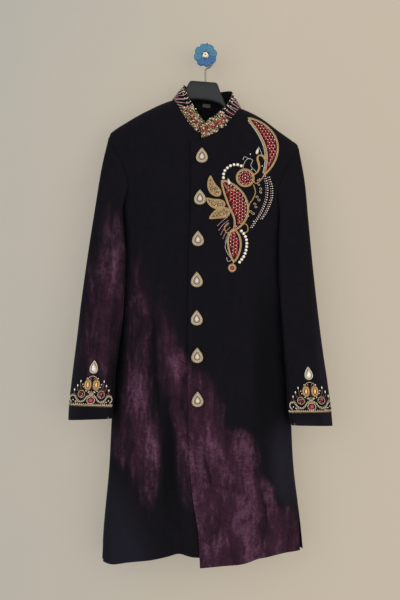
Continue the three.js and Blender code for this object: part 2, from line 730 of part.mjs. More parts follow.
// Half of the hanger from its middle outwards: top and bottom edges and thickness.
const HANGER = [
  { s: 0, top: 21, bottom: -21.5, thick: 14 },
  { s: 16, top: 21, bottom: -22.3, thick: 15 },
  { s: 29, top: 20.5, bottom: -25, thick: 16 },
  { s: 33, top: 17, bottom: -26, thick: 16.5 },
  { s: 38, top: 6, bottom: -27.6, thick: 17 },
  { s: 43, top: -5, bottom: -29.5, thick: 18 },
  { s: 53, top: -23, bottom: -38, thick: 18 },
  { s: 64, top: -40, bottom: -54, thick: 18 },
  { s: 84, top: -51, bottom: -68, thick: 22 },
  { s: 128, top: -68, bottom: -88, thick: 26 },
  { s: 166, top: -94, bottom: -116, thick: 27 },
  { s: 187, top: -112, bottom: -134, thick: 25 },
  { s: 192, top: -118, bottom: -134, thick: 20 },
];
const PEG = { radius: 4.5, from: -4.4, to: -57.6 };
const ROD = 1.8; // radius of the steel hook
const LOOP = 17.8; // radius of the hook's curl
const FLOWER = { y: -58, thick: 7, radius: 25, petal: 2.2, petals: 8 };
const PLATE = { radius: 15, thick: 4, tabHalf: 7, tabTop: 44 };
const NAIL = { x: 4, z: 40.5, radius: 2.4, long: 1.6 };

function roundedRing(y, z, halfY, halfZ, corner, x) {
  return steps(0, 1, 12).slice(0, -1).map((k) => {
    const a = k * 2 * Math.PI;
    const reach = (Math.abs(Math.cos(a)) ** corner + Math.abs(Math.sin(a)) ** corner) ** (-1 / corner);
    return vec(x, y + halfY * reach * Math.cos(a), z + halfZ * reach * Math.sin(a));
  });
}
function hangerBody() {
  const half = (sign) =>
    HANGER.map(({ s, top, bottom, thick }) =>
      roundedRing(0, (top + bottom) / 2, thick / 2, (top - bottom) / 2, 3, sign * s),
    );
  return loft([...half(-1).reverse(), ...half(1).slice(1)]);
}
function hangerHook() {
  const middle = vec(0, HANGER_Y, PEG.radius + SEAM + ROD - LOOP);
  const foot = HANGER_MIDDLE.z + HANGER[0].top + SEAM;
  const stem = [foot, lerp(foot, middle.z - LOOP, 0.5), middle.z - LOOP - 3].map((z) => vec(0, HANGER_Y, z));
  const curl = steps(-75, 205, 16).map((degrees) => {
    const a = THREE.MathUtils.degToRad(degrees);
    return vec(middle.x + LOOP * Math.cos(a), HANGER_Y, middle.z + LOOP * Math.sin(a));
  });
  const path = new THREE.CatmullRomCurve3([...stem, ...curl]);
  return loft(
    steps(0, 1, 36).map((k) => {
      const centre = path.getPoint(k);
      const along = path.getTangent(k);
      const across = vec(0, 1, 0).cross(along).normalize();
      return steps(0, 1, 8).slice(0, -1).map((j) => {
        const a = j * 2 * Math.PI;
        return centre.clone().addScaledVector(across, ROD * Math.cos(a)).add(vec(0, ROD * Math.sin(a), 0));
      });
    }),
  );
}

// A prism along -Y from an outline of [x, z] pairs.
const prism = (outline, from, to) =>
  loft([from, to].map((y) => outline.map(([x, z]) => vec(x, y, z))));
const circle = (radius, count, x = 0, z = 0) =>
  steps(0, 1, count).slice(0, -1).map((k) => {
    const a = k * 2 * Math.PI;
    return [x + radius * Math.cos(a), z + radius * Math.sin(a)];
  });
function flowerOutline() {
  return steps(0, 1, FLOWER.petals * 6).slice(0, -1).map((k) => {
    const a = k * 2 * Math.PI;
    const radius = FLOWER.radius + FLOWER.petal * Math.abs(Math.cos((FLOWER.petals * a) / 2));
    return [radius * Math.cos(a), radius * Math.sin(a)];
  });
}
// The base plate: a disc with a tab that rises behind the flower to take the nail.
function plateOutline() {
  const shoulder = Math.acos(PLATE.tabHalf / PLATE.radius);
  const disc = steps(Math.PI - shoulder, 2 * Math.PI + shoulder, 20).map((a) => [
    PLATE.radius * Math.cos(a),
    PLATE.radius * Math.sin(a),
  ]);
  const cap = PLATE.tabTop - PLATE.tabHalf;
  const top = steps(0, Math.PI, 8).map((a) => [
    PLATE.tabHalf * Math.cos(a),
    cap + PLATE.tabHalf * Math.sin(a),
  ]);
  return [...disc, ...top];
}

// ---------------------------------------------------------------- the model

const material = (color, roughness, metalness = 0) =>
  new THREE.MeshStandardMaterial({ color, roughness, metalness });
const velvet = () => material("#1b1a24", 0.85);
const goldWork = () => material("#b08a4a", 0.4, 0.7);
const rubies = () => material("#8e2430", 0.3, 0.2);
const kundan = () => material("#e6d8bd", 0.3, 0.3);

const sherwani = new THREE.Group();
function add(parent, name, geometry, finish) {
  const mesh = new THREE.Mesh(geometry, finish);
  mesh.name = name;
  parent.add(mesh);
  return mesh;
}

const coat = new THREE.Group();
sherwani.add(coat);
const leftColumns = frontColumns(frontLeft, NECK_LEFT.x);
add(coat, "front_left", wall(frontLeft, leftColumns, panelRows, CLOTH), velvet());
const rightColumns = frontColumns(frontRight, NECK_RIGHT.x);
add(coat, "front_right", wall(frontRight, rightColumns, panelRows, CLOTH), velvet());
add(coat, "back", wall(back, backColumns(), panelRows, CLOTH), velvet());
for (const [name, sheet] of [["sleeve_right", sleeveRight], ["sleeve_left", sleeveLeft]]) {
  add(coat, name + "_upper", sleevePiece(sheet, -BACK_SEAM, FRONT_SEAM), velvet());
  add(coat, name + "_under", sleevePiece(sheet, FRONT_SEAM, 2 - BACK_SEAM), velvet());
}
add(coat, "collar", wall(collar, steps(0, 1, 48), [0, 0.33, 0.67, 1], COLLAR_WALL), velvet());
const label = wall(labelSheet, [LABEL.from, LABEL.to], [LABEL.low, LABEL.high], LABEL.wall);
add(coat, "neck_label", label, kundan());

BUTTONS.forEach(({ x, z }, i) => {
  const outline = dropOutline(BUTTON.width, BUTTON.height, BUTTON.points);
  const button = add(coat, "button_" + (i + 1), setting(outline, BUTTON_LEVELS), kundan());
  button.position.set(x, coatY(x, z, -1) + gapeLift(x - BUTTON.width / 2, z) - BUTTON_STANDOFF, z);
});

for (const plate of SPRAY) {
  const gold = plate.name.startsWith("leaf");
  add(coat, "motif_" + plate.name, sprayPlate(plate), gold ? goldWork() : rubies());
}

for (const [name, side, sheet, sections] of [
  ["right", -1, sleeveRight, SLEEVE_RIGHT],
  ["left", 1, sleeveLeft, SLEEVE_LEFT],
]) {
  const made = cuffOrnaments(side, sheet, sections);
  add(coat, "cuff_band_" + name, made.band, kundan());
  add(coat, "cuff_crown_" + name, made.crown, goldWork());
  add(coat, "cuff_drop_" + name, made.drop, kundan()).position.copy(made.dropAt);
}

const hanger = new THREE.Group();
hanger.position.copy(HANGER_MIDDLE);
hanger.rotation.y = HANGER_TILT;
sherwani.add(hanger);
add(hanger, "hanger_body", hangerBody(), material("#3a3c40", 0.5));
add(sherwani, "hanger_hook", hangerHook(), material("#b9bcc0", 0.25, 1));

add(sherwani, "wall_plate", prism(plateOutline(), 0, -PLATE.thick), material("#d9d6cc", 0.5));
add(sherwani, "wall_peg", prism(circle(PEG.radius, 20), PEG.from, PEG.to), material("#2c6fae", 0.4));
const petals = prism(flowerOutline(), FLOWER.y, FLOWER.y - FLOWER.thick);
add(sherwani, "wall_flower", petals, material("#2f86c4", 0.4));
const face = FLOWER.y - FLOWER.thick - SEAM;
add(sherwani, "wall_flower_centre", prism(circle(5, 16), face, face - 3), material("#e8ddc8", 0.5));
const nailFoot = -PLATE.thick - SEAM;
const head = prism(circle(NAIL.radius, 12, NAIL.x, NAIL.z), nailFoot, nailFoot - NAIL.long);
add(sherwani, "wall_nail", head, material("#6b5140", 0.5, 0.6));

export default sherwani;
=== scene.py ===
"""A black and plum velvet sherwani on a hanger, hung from a flower-headed wall hook.

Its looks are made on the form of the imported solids. Tables are in millimetres in the shared frame:
+X to the viewer's right, -Y out of the wall, +Z up."""

import json
import math

import bpy
import numpy as np
from mathutils import Matrix, Vector

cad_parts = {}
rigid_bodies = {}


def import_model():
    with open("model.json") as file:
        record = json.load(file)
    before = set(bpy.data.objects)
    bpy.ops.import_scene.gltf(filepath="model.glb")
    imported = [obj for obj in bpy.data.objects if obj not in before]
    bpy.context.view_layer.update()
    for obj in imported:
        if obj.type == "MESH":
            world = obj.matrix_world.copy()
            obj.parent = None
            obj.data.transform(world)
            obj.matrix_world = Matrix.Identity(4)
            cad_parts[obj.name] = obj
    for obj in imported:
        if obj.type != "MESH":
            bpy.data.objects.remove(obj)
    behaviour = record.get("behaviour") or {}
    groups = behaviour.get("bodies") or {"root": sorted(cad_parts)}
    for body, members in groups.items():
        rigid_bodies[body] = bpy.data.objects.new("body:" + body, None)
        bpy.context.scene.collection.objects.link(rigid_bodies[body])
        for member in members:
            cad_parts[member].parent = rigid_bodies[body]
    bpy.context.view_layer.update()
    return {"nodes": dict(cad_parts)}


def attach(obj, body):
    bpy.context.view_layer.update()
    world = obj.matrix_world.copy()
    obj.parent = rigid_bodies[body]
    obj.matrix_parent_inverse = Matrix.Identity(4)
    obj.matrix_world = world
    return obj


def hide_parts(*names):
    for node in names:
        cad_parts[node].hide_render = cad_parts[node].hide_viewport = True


MM = 0.001
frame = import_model()

# ---------------------------------------------------------------- sizes shared with the solids

CLOTH = 1.8
COLLAR_WALL = 2.3
SEAM = 0.4
SLEEVE_SEAM = 1.2
ARMHOLE_PROUD = 1.6
ROUNDNESS = 2.6
SHOULDER_REACH = 50
UNDERLAP = 45
UNDERLAP_STEP = 3.8
ARMPIT = 0.165
HANGER_Y = -50
HANGER_TILT = math.radians(4.6)

# Height, left side, right side, middle, front depth and back depth of the coat's plan outline.
BODY = [
    (-90, -236, 229, -50, 56, 37),
    (-200, -232, 227, -51, 58, 39),
    (-262, -216, 211, -53, 60, 42),
    (-345, -203, 192, -56, 62, 45),
    (-426, -200, 186, -58, 63, 47),
    (-565, -204, 189, -60, 62, 49),
    (-703, -209, 194, -61, 63, 50),
    (-837, -216, 197, -62, 65, 51),
    (-953, -222, 203, -62, 67, 52),
    (-1082, -234, 219, -62, 69, 53),
    (-1175, -239, 228, -62, 70, 54),
]
SHOULDERS = [
    (-223.6, -189),
    (-219, -178),
    (-184, -154.5),
    (-138, -129),
    (-77.6, -103.5),
    (0, -92),
    (82.4, -122),
    (126.4, -143),
    (168, -173),
    (200.7, -196.3),
    (213, -206),
    (216, -216),
]
TIP_RIGHT, NECK_RIGHT, NECK_LEFT, TIP_LEFT = SHOULDERS[0], SHOULDERS[4], SHOULDERS[6], SHOULDERS[-1]
# Share of the way from shoulder tip to armpit, and how far the armhole is cut in at front and back.
ARMHOLE = [
    (0, 9, 9),
    (0.25, 22, 18),
    (0.45, 29, 22),
    (0.68, 33, 24),
    (0.85, 27, 19),
    (0.95, 14, 10),
    (1, 0, 0),
]
FRONT_EDGE = [
    (-200, -33),
    (-341, -33),
    (-453, -37.3),
    (-632, -39.6),
    (-789, -39.6),
    (-901, -37.3),
    (-946, -35),
    (-1013, -28.4),
    (-1085, -17.2),
    (-1168, -12.7),
]
NECK_SEAM_LEFT = [(-33, -206.5), (-9.6, -201.7), (28.3, -186), (56, -161), (72, -139), NECK_LEFT]
NECK_SEAM_RIGHT = [NECK_RIGHT, (-58.5, -137), (-39.7, -166), (-22, -184), (-4, -194), (12, -197)]
NECK_SEAM_BACK = [NECK_RIGHT, (-42, -110), (2, -116), (46, -120), NECK_LEFT]
HEM_RIGHT = [
    (-239, -1161),
    (-212, -1163),
    (-178, -1155),
    (-124, -1148),
    (-75, -1137),
    (-57, -1134.5),
    (-35, -1139),
    (-16, -1142),
    (33, -1147),
]
HEM_LEFT = [(-12.7, -1164.5), (36, -1160), (87, -1154), (121, -1146), (178, -1135), (228, -1134)]
HEM_BACK = [(-239, -1161), (0, -1150), (228, -1138)]
SLIT_RIGHT = (-1105, 4)
SLIT_LEFT = (-1010, 9)
GAPE_Z, GAPE_HALF, GAPE_REACH, GAPE_LIFT = -742, 48, 26, 6

# Heights of a sleeve section's outer and inner sides; x of its outer side, of its inner side at
# front and back, and of its outer side at back; y of its outer and inner sides and of its back.
SLEEVE_CORNER = 4
SLEEVE_RIGHT = [
    (-262, -374, -240, -178, -240, -236, -92, -112, -14),
    (-350, -410, -254, -173, -242, -250, -98, -118, -13),
    (-455, -475, -270, -167, -242, -266, -104, -122, -13),
    (-565, -570, -285.5, -170, -246, -280, -108, -125, -15),
    (-650, -650, -295, -178, -250, -290, -111, -127, -22),
    (-722, -722, -303, -190, -246, -299, -114, -128, -40),
    (-795, -798, -310.5, -197, -236, -307, -116, -129, -58),
    (-836, -831, -312, -205, -228, -310, -117, -129, -68),
]
SLEEVE_LEFT = [
    (-292, -402, 229, 156, 227, 225, -92, -112, -14),
    (-380, -440, 237, 153, 227, 233, -98, -118, -13),
    (-480, -500, 246, 152, 228, 242, -104, -122, -13),
    (-590, -595, 258, 157, 232, 253, -108, -125, -15),
    (-680, -680, 269, 163, 234, 264, -111, -127, -22),
    (-745, -745, 278, 169, 230, 273, -114, -128, -40),
    (-812, -812, 286, 174, 218, 282, -116, -129, -58),
    (-849, -846, 288.5, 187, 210, 286, -117, -129, -68),
]
FRONT_SEAM = 0.88
BACK_SEAM = 0.12

# Foot of the collar on the neck seam (x, and -1 on the fronts or 1 on the back) and its top edge.
COLLAR = [
    (10, -1, 15, -86, -167),
    (-7, -1, -2, -86, -156),
    (-22, -1, -12, -86, -145),
    (-39.7, -1, -27, -82, -121),
    (-58.5, -1, -40, -74, -95),
    (NECK_RIGHT[0], -1, -49.5, -52, -68),
    (-62, 1, -45, -32, -67),
    (-36, 1, -28, -21, -70),
    (2, 1, 5, -17, -75),
    (40, 1, 36, -21, -77),
    (66, 1, 53, -32, -77),
    (NECK_LEFT[0], -1, 61, -51, -83),
    (72, -1, 57, -70, -102),
    (56, -1, 45.4, -81, -120),
    (28.3, -1, 22, -96, -143.5),
    (8, -1, 4.9, -104, -156.7),
    (-9.6, -1, -14.2, -107, -170.9),
]
COLLAR = [(i / (len(COLLAR) - 1), *station) for i, station in enumerate(COLLAR)]
COLLAR_GAP = 0.9
NECK_TURNING = 5

BUTTONS = [
    (-8.4, -239),
    (-12.8, -334),
    (-17.3, -427),
    (-19.8, -519),
    (-20, -605),
    (-19.3, -689),
    (-18.6, -787),
]
BUTTON_WIDTH, BUTTON_HEIGHT, BUTTON_STANDOFF = 27, 35, 1.5

# ---------------------------------------------------------------- folds, creases, and painted light and shade on the velvet, placed one by one

# High end x, z; low end x, z; half width; depth, negative for a trough. Fronts only.
FOLDS = [
    (-124, -560, -108, -930, 11, -6),
    (-96, -760, -52, -1250, 16, -9),
    (-150, -800, -190, -1260, 24, 5),
    (116, -540, 126, -980, 13, -6),
    (92, -800, 128, -1260, 15, -7),
    (60, -930, 84, -1260, 22, 5),
]
# Shorter creases: the same columns, and each fades at both of its ends.
CREASES = [
    (-6, -905, 12, -1000, 3.2, -4.5),
    (2, -900, 22, -985, 7, 2.2),
    (107, -880, 110, -962, 4, 3.2),
    (116, -950, 121, -1030, 4, 3.0),
    (138, -1000, 141, -1085, 4, 3.2),
    (124, -985, 137, -1092, 7, -4.5),
    (100, -890, 103, -980, 5, -2.4),
    (-46, -672, -50, -838, 6, -5.0),
    (-119, -640, -110, -800, 11, -3.5),
    (-92, -800, -78, -1040, 14, -4.5),
    (-177, -650, -175, -770, 3.4, 2.0),
    (-150, -590, -160, -770, 8, 2.4),
    (138, -600, 143, -860, 14, -4.0),
    (112, -800, 115, -930, 6, -2.6),
    (48, -880, 58, -990, 9, -2.4),
    (30, -1000, 40, -1110, 10, 2.4),
    (64, -1010, 70, -1130, 8, -3.0),
    (170, -1010, 182, -1150, 10, -3.0),
    (-20, -1040, -4, -1130, 9, -2.6),
    (-140, -880, -128, -990, 7, 2.2),
    (-176, -860, -186, -980, 9, -2.2),
    (-60, -560, -52, -690, 9, -2.4),
    (-84, -470, -78, -640, 10, 1.8),
    (-168, -300, -150, -420, 12, -2.6),
    (-186, -330, -160, -470, 9, 1.8),
    (150, -330, 138, -470, 12, -2.4),
    (60, -520, 70, -680, 16, 1.6),
    (20, -560, 30, -760, 14, -1.8),
    (84, -640, 88, -800, 9, 1.8),
    (-110, -220, -90, -330, 18, 1.6),
    (120, -240, 96, -300, 16, -1.6),
]
# The same on the back, in two soft runs from the shoulder blades and loose pleats towards the hem.
BACK_FOLDS = [
    (-110, -300, -84, -760, 20, -4),
    (96, -320, 70, -820, 18, -4),
    (-30, -620, -38, -1250, 22, 4),
    (60, -760, 84, -1260, 20, -6),
    (-120, -800, -146, -1260, 22, -6),
    (150, -700, 176, -1250, 20, 5),
    (10, -860, 20, -1260, 16, -5),
    (-176, -520, -190, -900, 14, -3),
]
# Sleeve creases: place round the sleeve and share of its length at each end, half width, depth.
# They are laid out on a flat sleeve of this half girth and length.
HALF_GIRTH, SLEEVE_LENGTH = 140.0, 640.0
SLEEVE_CREASES = [
    (0.70, 0.16, 0.40, 0.30, 9, -3.2),
    (0.78, 0.24, 0.46, 0.37, 8, 2.4),
    (0.34, 0.36, 0.66, 0.47, 9, -2.6),
    (0.70, 0.42, 0.36, 0.55, 8, 2.2),
    (0.76, 0.52, 0.50, 0.60, 7, -2.6),
    (0.24, 0.56, 0.52, 0.66, 8, -2.0),
    (0.30, 0.10, 0.34, 0.40, 12, -2.0),
    (0.62, 0.62, 0.58, 0.86, 10, 1.8),
    (-0.30, 0.24, -0.55, 0.42, 10, -3.0),
    (-0.62, 0.46, -0.34, 0.60, 9, 2.6),
    (-0.40, 0.60, -0.60, 0.74, 9, -2.4),
]

# Painted light: lighter plum areas where light falls across the velvet, as rows of height, left edge, right
# edge, strength, and how softly the edges end.
PLUM_LIGHT_FRONT_LEFT = [
    (-660, -90, -52, 0.0, 16),
    (-700, -90, -30, 0.6, 18),
    (-745, -90, 2, 0.8, 24),
    (-790, -90, 20, 0.9, 26),
    (-838, -90, 38, 0.95, 30),
    (-870, -90, 84, 1.0, 34),
    (-910, -90, 108, 1.0, 22),
    (-955, -90, 116, 1.0, 18),
    (-985, -90, 138, 1.0, 24),
    (-1018, -90, 152, 1.0, 26),
    (-1045, -90, 190, 1.0, 36),
    (-1085, -90, 216, 1.0, 26),
    (-1135, -90, 230, 1.0, 18),
    (-1180, -90, 236, 1.0, 18),
]
PLUM_LIGHT_COLUMN = [
    (-400, -176, -140, 0.0, 24),
    (-505, -178, -128, 0.32, 24),
    (-610, -178, -126, 0.55, 20),
    (-745, -184, -124, 0.68, 18),
    (-813, -188, -114, 0.74, 20),
    (-881, -204, -98, 0.74, 24),
    (-926, -196, -96, 0.66, 26),
    (-971, -162, -105, 0.5, 26),
    (-1016, -140, -110, 0.3, 26),
    (-1070, -130, -114, 0.0, 26),
]
PLUM_LIGHT_FRONT_EDGE = [
    (-500, -100, -84, 0.0, 14),
    (-600, -107, -80, 0.5, 13),
    (-665, -107, -58, 0.7, 14),
    (-712, -105, -30, 0.8, 16),
    (-790, -94, -20, 0.8, 15),
    (-836, -75, -20, 0.75, 15),
    (-903, -67, -20, 0.6, 15),
    (-971, -62, -20, 0.4, 15),
    (-1020, -58, -20, 0.2, 15),
    (-1070, -56, -20, 0.0, 15),
]
PLUM_LIGHT_SLEEVE = [
    (-320, -214, -186, 0.0, 26),
    (-420, -236, -182, 0.4, 34),
    (-470, -246, -180, 0.62, 36),
    (-565, -260, -184, 0.85, 36),
    (-678, -266, -188, 0.82, 38),
    (-745, -256, -194, 0.5, 36),
    (-820, -234, -202, 0.0, 24),
]
# Painted sheen: a pale blue-grey where the velvet catches the light: the same columns.
PAINTED_SHEEN = [
    [(-930, -250, -215, 0.0, 30), (-1010, -250, -180, 0.5, 50), (-1170, -250, -110, 0.6, 60)],
    [
        (-820, 150, 260, 0.0, 20),
        (-880, 150, 250, 0.6, 22),
        (-1000, 158, 250, 0.7, 22),
        (-1060, 200, 260, 0.0, 20),
    ],
    [(-200, -320, -262, 0.35, 26), (-520, -320, -285, 0.75, 24), (-850, -330, -296, 0.6, 26)],
    [(-240, 232, 330, 0.2, 16), (-600, 248, 330, 0.5, 16), (-850, 262, 330, 0.5, 16)],
]
# Painted shade: nearly black in the gaps between the sleeves and the body and along creases: the same
# columns.
PAINTED_SHADE = [
    [
        (-500, 120, 150, 0.0, 12),
        (-620, 114, 168, 0.9, 14),
        (-820, 114, 172, 0.9, 16),
        (-900, 118, 150, 0.0, 14),
    ],
    [
        (-560, -122, -112, 0.0, 8),
        (-660, -122, -109, 0.9, 6),
        (-800, -112, -102, 0.8, 7),
        (-860, -104, -96, 0.4, 8),
    ],
    [
        (-780, -96, -76, 0.5, 10),
        (-860, -98, -72, 0.9, 10),
        (-1010, -100, -66, 0.8, 14),
        (-1100, -90, -60, 0.0, 16),
    ],
    [
        (-560, -216, -188, 0.4, 10),
        (-700, -216, -186, 0.9, 8),
        (-830, -220, -196, 0.5, 10),
        (-880, -224, -206, 0.0, 10),
    ],
    [(-1050, 124, 140, 0.5, 6), (-1075, 118, 142, 0.6, 8), (-1110, 120, 136, 0.0, 8)],
    [(-1040, -2, 30, 0.0, 14), (-1075, -10, 34, 0.55, 18), (-1120, -4, 20, 0.0, 18)],
    [(-900, -4, 0, 0.0, 4), (-935, 1, 8, 0.8, 5), (-975, 9, 15, 0.75, 5), (-995, 13, 15, 0.0, 4)],
    [
        (-915, 103, 106, 0.0, 5),
        (-960, 113, 119, 0.7, 5),
        (-1020, 125, 132, 0.8, 6),
        (-1065, 136, 140, 0.0, 5),
    ],
    [(-945, 57, 60, 0.0, 4), (-985, 61, 66, 0.55, 4), (-1020, 65, 68, 0.0, 4)],
    [(-820, 20, 24, 0.0, 6), (-850, 26, 40, 0.4, 8), (-880, 40, 60, 0.35, 8), (-900, 60, 70, 0.0, 6)],
]

# ---------------------------------------------------------------- the coat's surfaces


def curve(rows, at, column=1):
    """Smooth value of a column of a table at values of its first column."""
    table = np.array(rows, float)
    if table[0, 0] > table[-1, 0]:
        table = table[::-1]
    xs, ys = table[:, 0], table[:, column]
    at = np.clip(at, xs[0], xs[-1])
    slope = np.empty_like(ys)
    slope[1:-1] = (ys[2:] - ys[:-2]) / (xs[2:] - xs[:-2])
    slope[0] = (ys[1] - ys[0]) / (xs[1] - xs[0])
    slope[-1] = (ys[-1] - ys[-2]) / (xs[-1] - xs[-2])
    i = np.clip(np.searchsorted(xs, at, side="right"), 1, len(xs) - 1)
    span = xs[i] - xs[i - 1]
    s = (at - xs[i - 1]) / span
    rise = s * s * (3 - 2 * s)
    bend = span * s * (1 - s) * ((1 - s) * slope[i - 1] - s * slope[i])
    return ys[i - 1] + (ys[i] - ys[i - 1]) * rise + bend


def smooth(value, low, high):
    s = np.clip((value - low) / (high - low), 0, 1)
    return s * s * (3 - 2 * s)


def mix(a, b, s):
    return a + (b - a) * s


def xyz(x, y, z):
    return np.stack(np.broadcast_arrays(x, y, z), -1).astype(float)


def unit(v):
    return v / np.maximum(np.linalg.norm(v, axis=-1, keepdims=True), 1e-9)


def folds(rows, x, z, fade):
    """Sum of straight folds at x, z. fade gives each one's strength along itself."""
    depth = np.zeros(np.broadcast(x, z).shape)
    for high_x, high_z, low_x, low_z, half, height in rows:
        along = (z - high_z) / (low_z - high_z)
        off = (x - mix(high_x, low_x, along)) / half
        depth = depth + height * np.exp(-off * off) * fade(along)
    return depth


def long_fade(along):
    return smooth(along, 0, 0.3) * (1 - smooth(along, 0.8, 1))


def short_fade(along):
    return smooth(along, 0, 0.35) * (1 - smooth(along, 0.65, 1))


def shoulder_z(x):
    return curve(SHOULDERS, x)


def side_x(side, z):
    return curve(BODY, z, 1 if side < 0 else 2)


def front_edge(z):
    return curve(FRONT_EDGE, z)


def coat_y(x, z, face):
    left, right = side_x(-1, z), side_x(1, z)
    across = np.clip(np.abs(x - (left + right) / 2) / ((right - left) / 2), 0, 1)
    rounding = (1 - across**ROUNDNESS) ** (1 / ROUNDNESS)
    below = np.clip((shoulder_z(x) - z) / SHOULDER_REACH, 0, 1)
    top = np.sqrt(1 - (1 - below) ** 2)
    depth = curve(BODY, z, 4 if face < 0 else 5)
    if face < 0:
        crease = folds(FOLDS, x, z, long_fade) * rounding
        crease = crease + folds(CREASES, x, z, short_fade) * smooth(rounding, 0, 0.6) * top
    else:
        crease = folds(BACK_FOLDS, x, z, long_fade) * rounding * top * 0.7
    return curve(BODY, z, 3) + face * (depth * rounding * top + crease + SEAM / 2)


def side_edge(side, face, w):
    w = np.asarray(w, float)
    tip = TIP_RIGHT if side < 0 else TIP_LEFT
    if face < 0:
        hem = HEM_RIGHT[0] if side < 0 else HEM_LEFT[-1]
    else:
        hem = HEM_BACK[0] if side < 0 else HEM_BACK[-1]
    z = mix(tip[1], hem[1], w)
    inset = np.where(w < ARMPIT, curve(ARMHOLE, w / ARMPIT, 1 if face < 0 else 2), 0.0)
    slit_top, slit_open = SLIT_RIGHT if side < 0 else SLIT_LEFT
    if face < 0:
        inset = inset + slit_open * smooth(-z, -slit_top, -hem[1])
    return side_x(side, z) - side * inset


def panel(face, a, b, top, hem, lift=lambda x, z: 0):
    """Points of a panel: s runs from edge a to edge b, w from its top line to its hem."""

    def point(s, w):
        x = mix(a(w), b(w), s)
        z = mix(top(mix(a(0.0), b(0.0), s)), hem(mix(a(1.0), b(1.0), s)), w)
        return xyz(x, coat_y(x, z, face) + lift(x, z), z)

    return point


def top_line(seam):
    def height(x):
        on_neck = (x >= seam[0][0]) & (x <= seam[-1][0])
        return np.where(on_neck, curve(seam, x), shoulder_z(x))

    return height


def gape_lift(x, z):
    along = np.exp(-(((z - GAPE_Z) / GAPE_HALF) ** 2))
    return -GAPE_LIFT * along * (1 - smooth(x - front_edge(z), 0, GAPE_REACH))


def underlap_drop(x, z):
    return UNDERLAP_STEP * smooth(x - front_edge(z), -14, -3)


front_left = panel(
    -1,
    lambda w: front_edge(mix(NECK_SEAM_LEFT[0][1], HEM_LEFT[0][1], w)),
    lambda w: side_edge(1, -1, w),
    top_line(NECK_SEAM_LEFT),
    lambda x: curve(HEM_LEFT, x),
    gape_lift,
)
front_right = panel(
    -1,
    lambda w: front_edge(mix(NECK_SEAM_RIGHT[-1][1], HEM_RIGHT[-1][1], w)) + UNDERLAP,
    lambda w: side_edge(-1, -1, w),
    top_line(NECK_SEAM_RIGHT),
    lambda x: curve(HEM_RIGHT, x),
    underlap_drop,
)
back = panel(
    1,
    lambda w: side_edge(-1, 1, w),
    lambda w: side_edge(1, 1, w),
    top_line(NECK_SEAM_BACK),
    lambda x: curve(HEM_BACK, x),
)


def sheet_normals(points, away):
    """Unit normals of a grid of points, on the side that looks along away."""
    across = np.gradient(points, axis=1)
    down = np.gradient(points, axis=0)
    n = unit(np.cross(across, down))
    flip = (n * away).sum(-1, keepdims=True) < 0
    return np.where(flip, -n, n)


def armhole(side, face, t):
    w = t * ARMPIT
    sheet = back if face > 0 else (front_right if side < 0 else front_left)
    s = 0.0 if face > 0 and side < 0 else 1.0
    step = 1e-3
    at = sheet(s, w)
    inward = sheet(abs(s - step), w) - at
    down = sheet(s, w + step) - at
    n = unit(np.cross(inward, down))
    away = xyz(side * 2.0, float(face), 0.01)
    n = np.where((n * away).sum(-1, keepdims=True) < 0, -n, n)
    return at + xyz(side * SEAM, 0, t * SEAM) + n * ARMHOLE_PROUD * t[..., None]


def section_point(section, face, t):
    z_out, z_in, out_x, in_front, in_back, out_back, y_out, y_in, y_back = section
    out = 1 - t
    bulge = (1 - np.abs(2 * out - 1) ** SLEEVE_CORNER) ** (1 / SLEEVE_CORNER)
    front = (1 - face * bulge) / 2
    return xyz(
        mix(mix(in_back, out_back, out), mix(in_front, out_x, out), front),
        mix(y_back, mix(y_in, y_out, out), front),
        mix(z_in, z_out, out),
    )


def sleeve(side, sections):
    """Points of a sleeve. q is 0 on its outer side, 1 on its inner side by way of the front, 2 outside."""

    def ring(k, q):
        front = (q >= 0) & (q <= 1)
        t = np.where(q < 0, -q, np.where(q > 1, 2 - q, q))
        face = np.where(front, -1, 1)
        if k > 0:
            return section_point(sections[k - 1], face, t)
        return np.where(front[..., None], armhole(side, -1, t), armhole(side, 1, t))

    def point(q, v):
        q, v = np.broadcast_arrays(np.asarray(q, float), np.asarray(v, float))
        at = np.clip(v, 0, 1) * len(sections)
        level = np.minimum(np.floor(at).astype(int), len(sections) - 1)
        made = np.zeros(q.shape + (3,))
        for k in np.unique(level):
            here = level == k
            qs = q[here]
            p1, p2 = ring(k, qs), ring(k + 1, qs)
            p0 = ring(k - 1, qs) if k > 0 else 2 * p1 - p2
            p3 = ring(k + 2, qs) if k + 2 <= len(sections) else 2 * p2 - p1
            s = (at[here] - k)[:, None]
            bend = s * (2 * p0 - 5 * p1 + 4 * p2 - p3 + s * (3 * (p1 - p2) + p3 - p0))
            made[here] = p1 + 0.5 * s * (p2 - p0 + bend)
        return made

    return point


sleeve_right = sleeve(-1, SLEEVE_RIGHT)
sleeve_left = sleeve(1, SLEEVE_LEFT)


def sleeve_normal(point, q, v):
    step = 2e-3
    around = point(q + step, v) - point(q - step, v)
    along = point(q, np.minimum(v + step, 1)) - point(q, np.maximum(v - step, 0))
    n = unit(np.cross(around, along))
    away = point(q, v) - (point(0.5, v) + point(-0.5, v)) / 2
    return np.where((n * away).sum(-1, keepdims=True) < 0, -n, n)


def sleeve_lift(q, v):
    """Creases of a sleeve in millimetres, faded out at the armhole and at the cuff."""
    round_at, down_at = q * HALF_GIRTH, v * SLEEVE_LENGTH
    lift = np.zeros(np.broadcast(q, v).shape)
    for q0, v0, q1, v1, half, height in SLEEVE_CREASES:
        a = np.array([q0 * HALF_GIRTH, v0 * SLEEVE_LENGTH])
        b = np.array([q1 * HALF_GIRTH, v1 * SLEEVE_LENGTH])
        run = b - a
        along = ((round_at - a[0]) * run[0] + (down_at - a[1]) * run[1]) / (run @ run)
        off = ((round_at - a[0]) * run[1] - (down_at - a[1]) * run[0]) / np.linalg.norm(run)
        fade = smooth(along, -0.1, 0.3) * (1 - smooth(along, 0.7, 1.1))
        lift = lift + height * np.exp(-((off / half) ** 2)) * fade
    return lift * smooth(v, 0.02, 0.14) * (1 - smooth(v, 0.84, 0.95))


